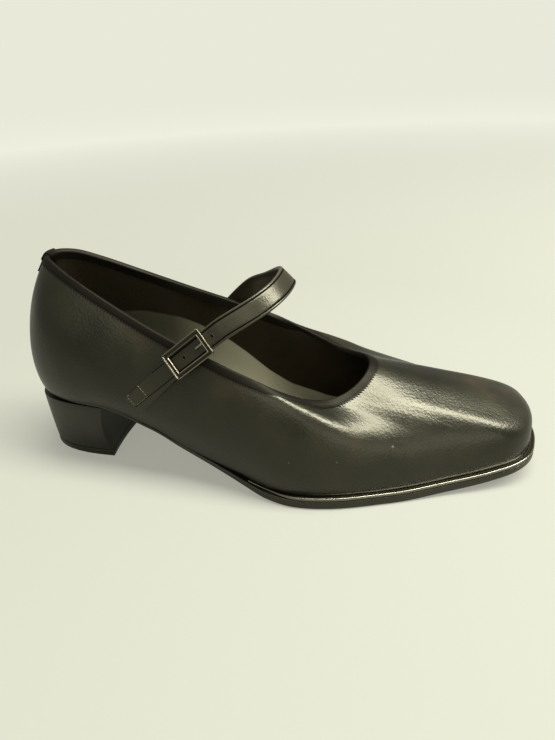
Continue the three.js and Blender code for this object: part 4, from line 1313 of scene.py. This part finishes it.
@dataclass
class Fastening:
    """Strap over the instep, its buckle, tab and ring."""

    last: Last
    bench: Bench
    finishes: Finishes
    strap_width: float = 9.4
    strap_thickness: float = 2.0
    tab_length: float = 29.0
    tab_thickness: float = 1.6
    buckle_length: float = 21.0
    buckle_width: float = 12.6
    buckle_bar: float = 2.3
    buckle_height: float = 1.8
    ring_length: float = 9.5
    ring_bar: float = 1.7
    ring_height: float = 1.5
    pin_length: float = 4.0
    pin_width: float = 1.2
    binding_thickness: float = 0.5
    buckle_spot: tuple[float, float] = (0.392, 0.840)
    ring_spot: tuple[float, float] = (0.386, 0.715)
    buckle_slope: float = 42.0
    ring_slope: float = 50.0
    turn_span: tuple[float, float] = (0.18, 0.9)
    strap_fold: float = 0.55
    # Bands in from the edge: painted shade in the pressed line, painted highlight on the fold
    line_shade_band: tuple[float, float] = (0.9, 1.4)
    edge_highlight_band: float = 0.4
    hole_runs: tuple[float, ...] = (-2.9, 5.4, 13.2)
    hole_radius: float = 0.8
    hole_rim: float = 0.16
    bore_radius: float = 0.78
    bore_depth: float = 0.1
    tab_rounding: float = 0.3
    metal_rounding: float = 0.15
    sharper: float = 35.0
    tab_start: float = 1.2
    pressed_inset: tuple[float, float] = (0.95, 1.3)
    pressed_ends: tuple[float, float] = (0.3, 0.3)
    pressed_lift: float = 0.02
    stitch_size: tuple[float, float, float] = (0.62, 0.17, 0.14)
    stitch_inset: float = 1.4
    side_stitches: tuple[float, float, float] = (9.2, 1.2, 1.6)
    cross_stitches: tuple[float, float] = (9.6, 1.3)
    cross_pitch: tuple[float, float] = (0.8, 1.5)
    buckle: FramePose = field(init=False)
    ring: FramePose = field(init=False)

    def build(self) -> None:
        """Make the strap, the tab and the metal."""
        self.buckle = self.frame_pose(self.buckle_spot, self.buckle_slope,
                                      self.buckle_length / 2, Side.OUTER)
        self.ring = self.frame_pose(self.ring_spot, self.ring_slope,
                                    self.ring_length / 2, Side.INNER)
        self.strap()
        # The tab's rounded edges take the lighter fold leather, a painted highlight
        tab = self.bench.refine("buckle_tab", "buckle_tab_leather", Slot.UPPER,
                                [self.finishes.strap, self.finishes.fold],
                                self.tab_rounding, self.sharper)
        self.stitches(tab)
        self.pressed_line_shades(tab)
        for node, name in (("buckle_frame", "buckle_body"), ("strap_ring", "ring_body"),
                           ("buckle_pin", "buckle_tongue")):
            self.bench.refine(node, name, Slot.METAL, [self.finishes.steel],
                              self.metal_rounding, self.sharper)
        self.holes()
    def strap_line(self, steps: int) -> tuple[Points, Points, Points]:
        """Centre line of the strap from under the buckle, over the instep and down to its ring.

        Args:
            steps: Number of sections.

        Returns:
            Centres, tangents and width directions.
        """
        middle = self.strap_thickness / 2
        reach, ring = self.buckle_length / 2, self.ring_length / 2
        free = [dict(zip(STRAP_COLUMNS, row)) for row in STRAP_ROWS.values()]
        x = np.array([row["along"] for row in free]) * self.last.sole_length
        y = np.array([row["across"] for row in free]) * self.last.ball_width
        z = self.last.sole_top(x) + np.array([row["up"] for row in free]) * self.last.back_rise
        points = np.vstack([
            *[self.buckle.at(run, 0, middle) for run in (
                self.buckle_bar / 2 - reach, 0, reach, reach + self.strap_thickness)],
            np.column_stack([x, y, z]),
            *[self.ring.at(run, 0, middle) for run in (
                ring + self.strap_thickness, ring, 0, self.ring_bar / 2 - ring)]])
        fine = catmull_rom(points, np.linspace(0, 1, 1601), True, False)
        lengths = np.concatenate([[0], np.cumsum(np.linalg.norm(np.diff(fine, axis=0), axis=1))])
        shares = np.linspace(0, 1, steps + 1)
        centres = np.column_stack([np.interp(shares * lengths[-1], lengths, fine[:, i])
                                   for i in range(3)])
        runs = unit(np.gradient(centres, axis=0))
        blend = smoothstep(shares, *self.turn_span)[:, None]
        wide = self.buckle.wide * (1 - blend) + self.ring.wide * blend
        wide = unit(wide - runs * np.einsum("ij,ij->i", wide, runs)[:, None])
        return centres, runs, wide

    def strap(self) -> None:
        """Strap with folded, rounded edges and a pressed line along each of them."""
        half, tall, fold = self.strap_width / 2, self.strap_thickness / 2, self.strap_fold
        turn = np.linspace(0, math.pi / 2, 5)
        low = [(half - 0.3, -tall), (half, 0.3 - tall)]
        edge = [(half - fold * (1 - math.cos(a)), tall - fold * (1 - math.sin(a))) for a in turn]
        line = [(half - inset, tall - deep) for inset, deep in STRAP_LINE_ROWS.values()]
        side = low + edge + line + [(half * 0.25, tall)]
        profile = side + [(-across, above) for across, above in reversed(side)]
        centres, runs, wide = self.strap_line(180)
        out = np.cross(wide, runs)
        points = np.stack([centres + wide * across + out * above for across, above in profile],
                          axis=1)
        count, rows = len(profile), len(centres)
        faces = grid_faces(rows, count, False, True)
        faces.append(tuple(reversed(range(count))))
        faces.append(tuple((rows - 1) * count + i for i in range(count)))
        # Pressed lines take black painted shade, folded edges a lighter painted highlight
        slots = [self.strap_slot(profile, spot) for _ in range(rows - 1)
                 for spot in range(count)]
        piece = self.bench.mesh("strap_leather", points.reshape(-1, 3), faces,
                                [self.finishes.strap, self.finishes.hole, self.finishes.fold],
                                50, slots + [0, 0])
        self.bench.select(piece)
        bpy.ops.object.mode_set(mode="EDIT")
        bpy.ops.mesh.select_all(action="SELECT")
        bpy.ops.mesh.normals_make_consistent(inside=False)
        bpy.ops.object.mode_set(mode="OBJECT")
        self.bench.finish(piece, Slot.UPPER, "strap")

    def strap_slot(self, profile: list[tuple[float, float]], spot: int) -> int:
        """Choose the material of a face of the strap.

        Args:
            profile: Section of the strap.
            spot: Profile point that the face starts at.

        Returns:
            1 for a pressed line's painted shade, 2 for a folded edge's painted highlight, 0 elsewhere.
        """
        ends = (profile[spot], profile[(spot + 1) % len(profile)])
        inset = self.strap_width / 2 - abs(sum(across for across, _ in ends)) / 2
        above = sum(height for _, height in ends) / 2
        if above < 0:
            return 0
        if self.line_shade_band[0] < inset < self.line_shade_band[1]:
            return 1
        return 2 if inset < self.edge_highlight_band else 0

    def holes(self) -> None:
        """Punched holes: a black disc of painted shade, and the leather's raised rim round it."""
        for number, run in enumerate(self.hole_runs):
            place = self.buckle.matrix(self.bench, self.strap_thickness)
            place.translation = Vector(
                (self.buckle.at(run, 0, self.strap_thickness) + self.bench.shift) * MM)
            bpy.ops.mesh.primitive_torus_add(
                major_radius=self.hole_radius * MM, minor_radius=self.hole_rim * MM,
                major_segments=32, minor_segments=10)
            rim = bpy.context.active_object
            # A thin black disc in each hole: painted shade
            bpy.ops.mesh.primitive_cylinder_add(
                radius=self.bore_radius * MM, depth=self.bore_depth * MM, vertices=32)
            bore = bpy.context.active_object
            for piece, name, finish in ((rim, "strap_hole_rim", self.finishes.strap),
                                        (bore, "strap_hole_shade_disc", self.finishes.hole)):
                piece.name = f"{name}_{number}"
                piece.data.materials.append(finish)
                piece.data.transform(place)
                self.bench.smooth(piece)
                self.bench.finish(piece, Slot.UPPER)

    def on_tab(self, tab: bpy.types.Object, run: float,
               across: float) -> tuple[Vector, Vector] | None:
        """Find the tab's face by a ray cast down on it.

        Args:
            tab: The tab.
            run: Distance down the tab from the buckle's middle.
            across: Distance from the tab's middle line.

        Returns:
            The point and its normal, or None beside the tab.
        """
        above = Vector((self.buckle.at(-run, across, PROBE_HEIGHT) + self.bench.shift) * MM)
        hit, spot, normal, _ = tab.ray_cast(above, Vector(-self.buckle.up))
        return (spot, normal) if hit else None

    def pressed_line_shades(self, tab: bpy.types.Object) -> None:
        """Lay a thin black ribbon along each of the tab's edges: painted shade for a pressed line.

        Args:
            tab: The tab.
        """
        start = (self.buckle_length - self.buckle_bar) / 2 + self.tab_start
        runs = np.linspace(start + self.pressed_ends[0],
                           start + self.tab_length - self.pressed_ends[1], 50)
        for side in (-1, 1):
            rows = []
            for run in runs:
                pair = [self.on_tab(tab, run, side * (self.strap_width / 2 - inset))
                        for inset in self.pressed_inset]
                if all(pair):
                    rows.append([np.array(spot + normal * self.pressed_lift * MM) / MM
                                 - self.bench.shift for spot, normal in pair])
            faces = [(2 * i, 2 * i + 1, 2 * i + 3, 2 * i + 2)[::side] for i in range(len(rows) - 1)]
            line = self.bench.mesh(f"tab_pressed_line_shade_{'lateral' if side > 0 else 'medial'}",
                                   np.array(rows).reshape(-1, 3), faces, [self.finishes.hole])
            self.bench.finish(line, Slot.UPPER)

    def stitches(self, tab: bpy.types.Object) -> None:
        """Sew the tab's end to the quarter with a box of stitches.

        Args:
            tab: The tab.
        """
        end = (self.buckle_length - self.buckle_bar) / 2 + self.tab_start + self.tab_length
        side = self.strap_width / 2 - self.stitch_inset
        far, near, pitch = self.side_stitches
        first, cross_pitch = self.cross_pitch
        spots = [(run, across, self.buckle.long) for across in (-side, side)
                 for run in np.arange(end - far, end - near, pitch)]
        spots += [(end - back, across, self.buckle.wide) for back in self.cross_stitches
                  for across in np.arange(-side + first, side, cross_pitch)]
        bpy.context.view_layer.update()
        for number, (run, across, along) in enumerate(spots):
            found = self.on_tab(tab, run, across)
            if found is None:
                continue
            spot, normal = found
            bpy.ops.mesh.primitive_uv_sphere_add(segments=10, ring_count=6, radius=1.0)
            stitch = bpy.context.active_object
            stitch.name = f"tab_stitch_{number}"
            across_way = normal.cross(Vector(along)).normalized()
            ways = (across_way.cross(normal), across_way, normal)
            turned = Matrix([way * size * MM for way, size in zip(ways, self.stitch_size)])
            place = turned.transposed().to_4x4()
            place.translation = spot
            stitch.data.transform(place)
            stitch.data.materials.append(self.finishes.thread)
            self.bench.smooth(stitch, 60)
            self.bench.finish(stitch, Slot.UPPER)

    def frame_pose(self, spot: tuple[float, float], slope: float, reach: float,
                   side: Side) -> FramePose:
        """Lay a plane on a quarter for a frame over the strap, its long side up the strap's line.

        Args:
            spot: Shares of the sole's length and of the back's rise.
            slope: Slope of the long side in degrees.
            reach: Half the frame's length.
            side: Which quarter.

        Returns:
            The plane.
        """
        last = self.last
        x = spot[0] * last.sole_length
        height = last.sole_top(np.array([x]))[0] + spot[1] * last.back_rise
        turn = math.radians(slope)
        low, _ = last.quarter_spot(x - reach * math.cos(turn), height - reach * math.sin(turn),
                                   side)
        high, normal = last.quarter_spot(x, height, side)
        long = unit(high - low)
        wide = unit(np.cross(long, normal)) * -side.value
        up = np.cross(wide, long) * -side.value
        clear = 2 * last.fit_gap + self.binding_thickness
        return FramePose(high + up * clear, long, wide, up)


@dataclass
class Studio:
    """Floor, soft lights and the camera of the photograph."""

    yaw: float = 13.24
    pitch: float = 28.73
    roll: float = -3.5
    eye: tuple[float, float, float] = (181.77, -229.36, 173.10)
    surround: float = 0.28
    pale: str = "#e9e9da"
    floor_size: float = 6.0
    floor_glow: float = 0.38
    far_glow: float = 0.92
    glow_span: tuple[float, float] = (0.25, 1.6)
    glow_on_shoe: float = 0.4

    def build(self, bench: Bench) -> None:
        """Make the floor, lights and camera."""
        self.floor()
        self.lights()
        self.camera(bench)

    def floor(self) -> None:
        """Pale seamless floor that glows more the farther it is, and less on the shoe."""
        bpy.ops.mesh.primitive_plane_add(size=self.floor_size, location=(0, 0, 0))
        floor = bpy.context.active_object
        floor.name = "studio_floor"
        # Matt painted board: an even pale grey without a gloss
        material = bpy.data.materials.new("painted_board_matt")
        tree = empty_tree(material)
        place = add_node(tree, "ShaderNodeTexCoord").outputs["Object"]
        away = add_node(tree, "ShaderNodeVectorMath", {"operation": "LENGTH"}, {0: place})
        glow = add_node(tree, "ShaderNodeMapRange",
                        {"From Min": self.glow_span[0], "From Max": self.glow_span[1],
                         "To Min": self.floor_glow, "To Max": self.far_glow},
                        {"Value": away.outputs["Value"]})
        seen = add_node(tree, "ShaderNodeLightPath").outputs["Is Camera Ray"]
        share = add_node(tree, "ShaderNodeMapRange", {"To Min": self.glow_on_shoe, "To Max": 1.0},
                         {"Value": seen})
        strength = add_node(tree, "ShaderNodeMath", {"operation": "MULTIPLY"},
                            {0: glow.outputs["Result"], 1: share.outputs["Result"]})
        shader = add_node(tree, "ShaderNodeBsdfPrincipled",
                          {"Base Color": linear("#6c6e68"), "Roughness": 0.9,
                           "Emission Color": linear(self.pale)},
                          {"Emission Strength": strength.outputs[0]})
        add_node(tree, "ShaderNodeOutputMaterial", links={"Surface": shader.outputs["BSDF"]})
        floor.data.materials.append(material)

    def lights(self) -> None:
        """Large soft lights above and in front, and a pale surrounding, dimmer on the shoe."""
        world = bpy.data.worlds.new("pale_studio")
        bpy.context.scene.world = world
        tree = empty_tree(world)
        seen = add_node(tree, "ShaderNodeLightPath").outputs["Is Camera Ray"]
        around = add_node(tree, "ShaderNodeBackground",
                          {"Color": linear("#f5f4e4"), "Strength": self.surround})
        wall = add_node(tree, "ShaderNodeBackground",
                        {"Color": linear(self.pale), "Strength": 1.0})
        mix = add_node(tree, "ShaderNodeMixShader",
                       links={0: seen, 1: around.outputs[0], 2: wall.outputs[0]})
        add_node(tree, "ShaderNodeOutputWorld", links={"Surface": mix.outputs[0]})
        # Name, place, aim and size in metres, and power in watts
        for name, spot, aim, size, power in (
                ("overhead_strip", (0.46, -0.02, 1.05), (0.05, 0, 0.03), (0.40, 1.3), 46.0),
                ("front_softbox", (-0.12, -1.15, 0.85), (0, 0, 0.04), (1.2, 0.7), 4.0),
                ("low_softbox", (0.75, -0.95, 0.3), (0, 0, 0.05), (0.7, 0.4), 1.8)):
            light = bpy.data.lights.new(name, "AREA")
            light.shape = "RECTANGLE"
            light.size, light.size_y = size
            light.energy = power
            light.color = linear("#fdfbec")[:3]
            lamp = bpy.data.objects.new(name, light)
            bpy.context.scene.collection.objects.link(lamp)
            lamp.location = spot
            lamp.rotation_euler = (Vector(aim) - Vector(spot)).to_track_quat("-Z", "Y").to_euler()

    def camera(self, bench: Bench) -> None:
        """Set the camera at the photograph's angle, with its lens.

        Args:
            bench: Bench that holds the shift to the frame's origin.
        """
        yaw, pitch, roll = (math.radians(a) for a in (self.yaw, self.pitch, self.roll))
        back = Vector((math.sin(yaw) * math.cos(pitch), -math.cos(yaw) * math.cos(pitch),
                       math.sin(pitch)))
        right = (-back).cross(Vector((0, 0, 1))).normalized()
        up = right.cross(-back)
        level_right = right * math.cos(roll) + up * math.sin(roll)
        level_up = up * math.cos(roll) - right * math.sin(roll)
        data = bpy.data.cameras.new("photo_camera")
        data.sensor_fit = "VERTICAL"
        data.sensor_height = SENSOR
        data.lens = PHOTO_FOCAL * SENSOR / PHOTO_HEIGHT
        data.clip_start = 0.01
        camera = bpy.data.objects.new("photo_camera", data)
        bpy.context.scene.collection.objects.link(camera)
        place = Matrix((level_right, level_up, back)).transposed().to_4x4()
        place.translation = Vector((np.array(self.eye) + bench.shift) * MM)
        camera.matrix_world = place
        bpy.context.scene.camera = camera
        bpy.context.scene.view_settings.view_transform = "Standard"


def frame_shift(last: Last) -> Points:
    """Shift from the last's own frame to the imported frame, in millimetres.

    Args:
        last: The shoe's shape.

    Returns:
        The shift, read from the outsole's box.
    """
    low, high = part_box("outsole")
    shares = np.arange(90) / 90
    x = last.feather(shares)[:, 0]
    edge = last.edge_point(shares, last.ledge(x), x)
    middle = (edge.min(axis=0) + edge.max(axis=0)) / 2
    return np.array([(low.x + high.x) / 2 / MM - middle[0], (low.y + high.y) / 2 / MM - middle[1], 0])


def main() -> None:
    """Build the shoe piece by piece, then the studio."""
    logging.basicConfig(level=logging.INFO, format="%(name)s: %(message)s")
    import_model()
    last = Last()
    bench = Bench(frame_shift(last))
    log.info("shift %s mm", np.round(bench.shift, 3).tolist())
    finishes = Finishes(bench.shift)
    for part in (Bottom(last, bench, finishes), Upper(last, bench, finishes),
                 Fastening(last, bench, finishes)):
        part.build()
        log.info("built %s", type(part).__name__)
    Studio().build(bench)


if __name__ == "__main__":
    main()
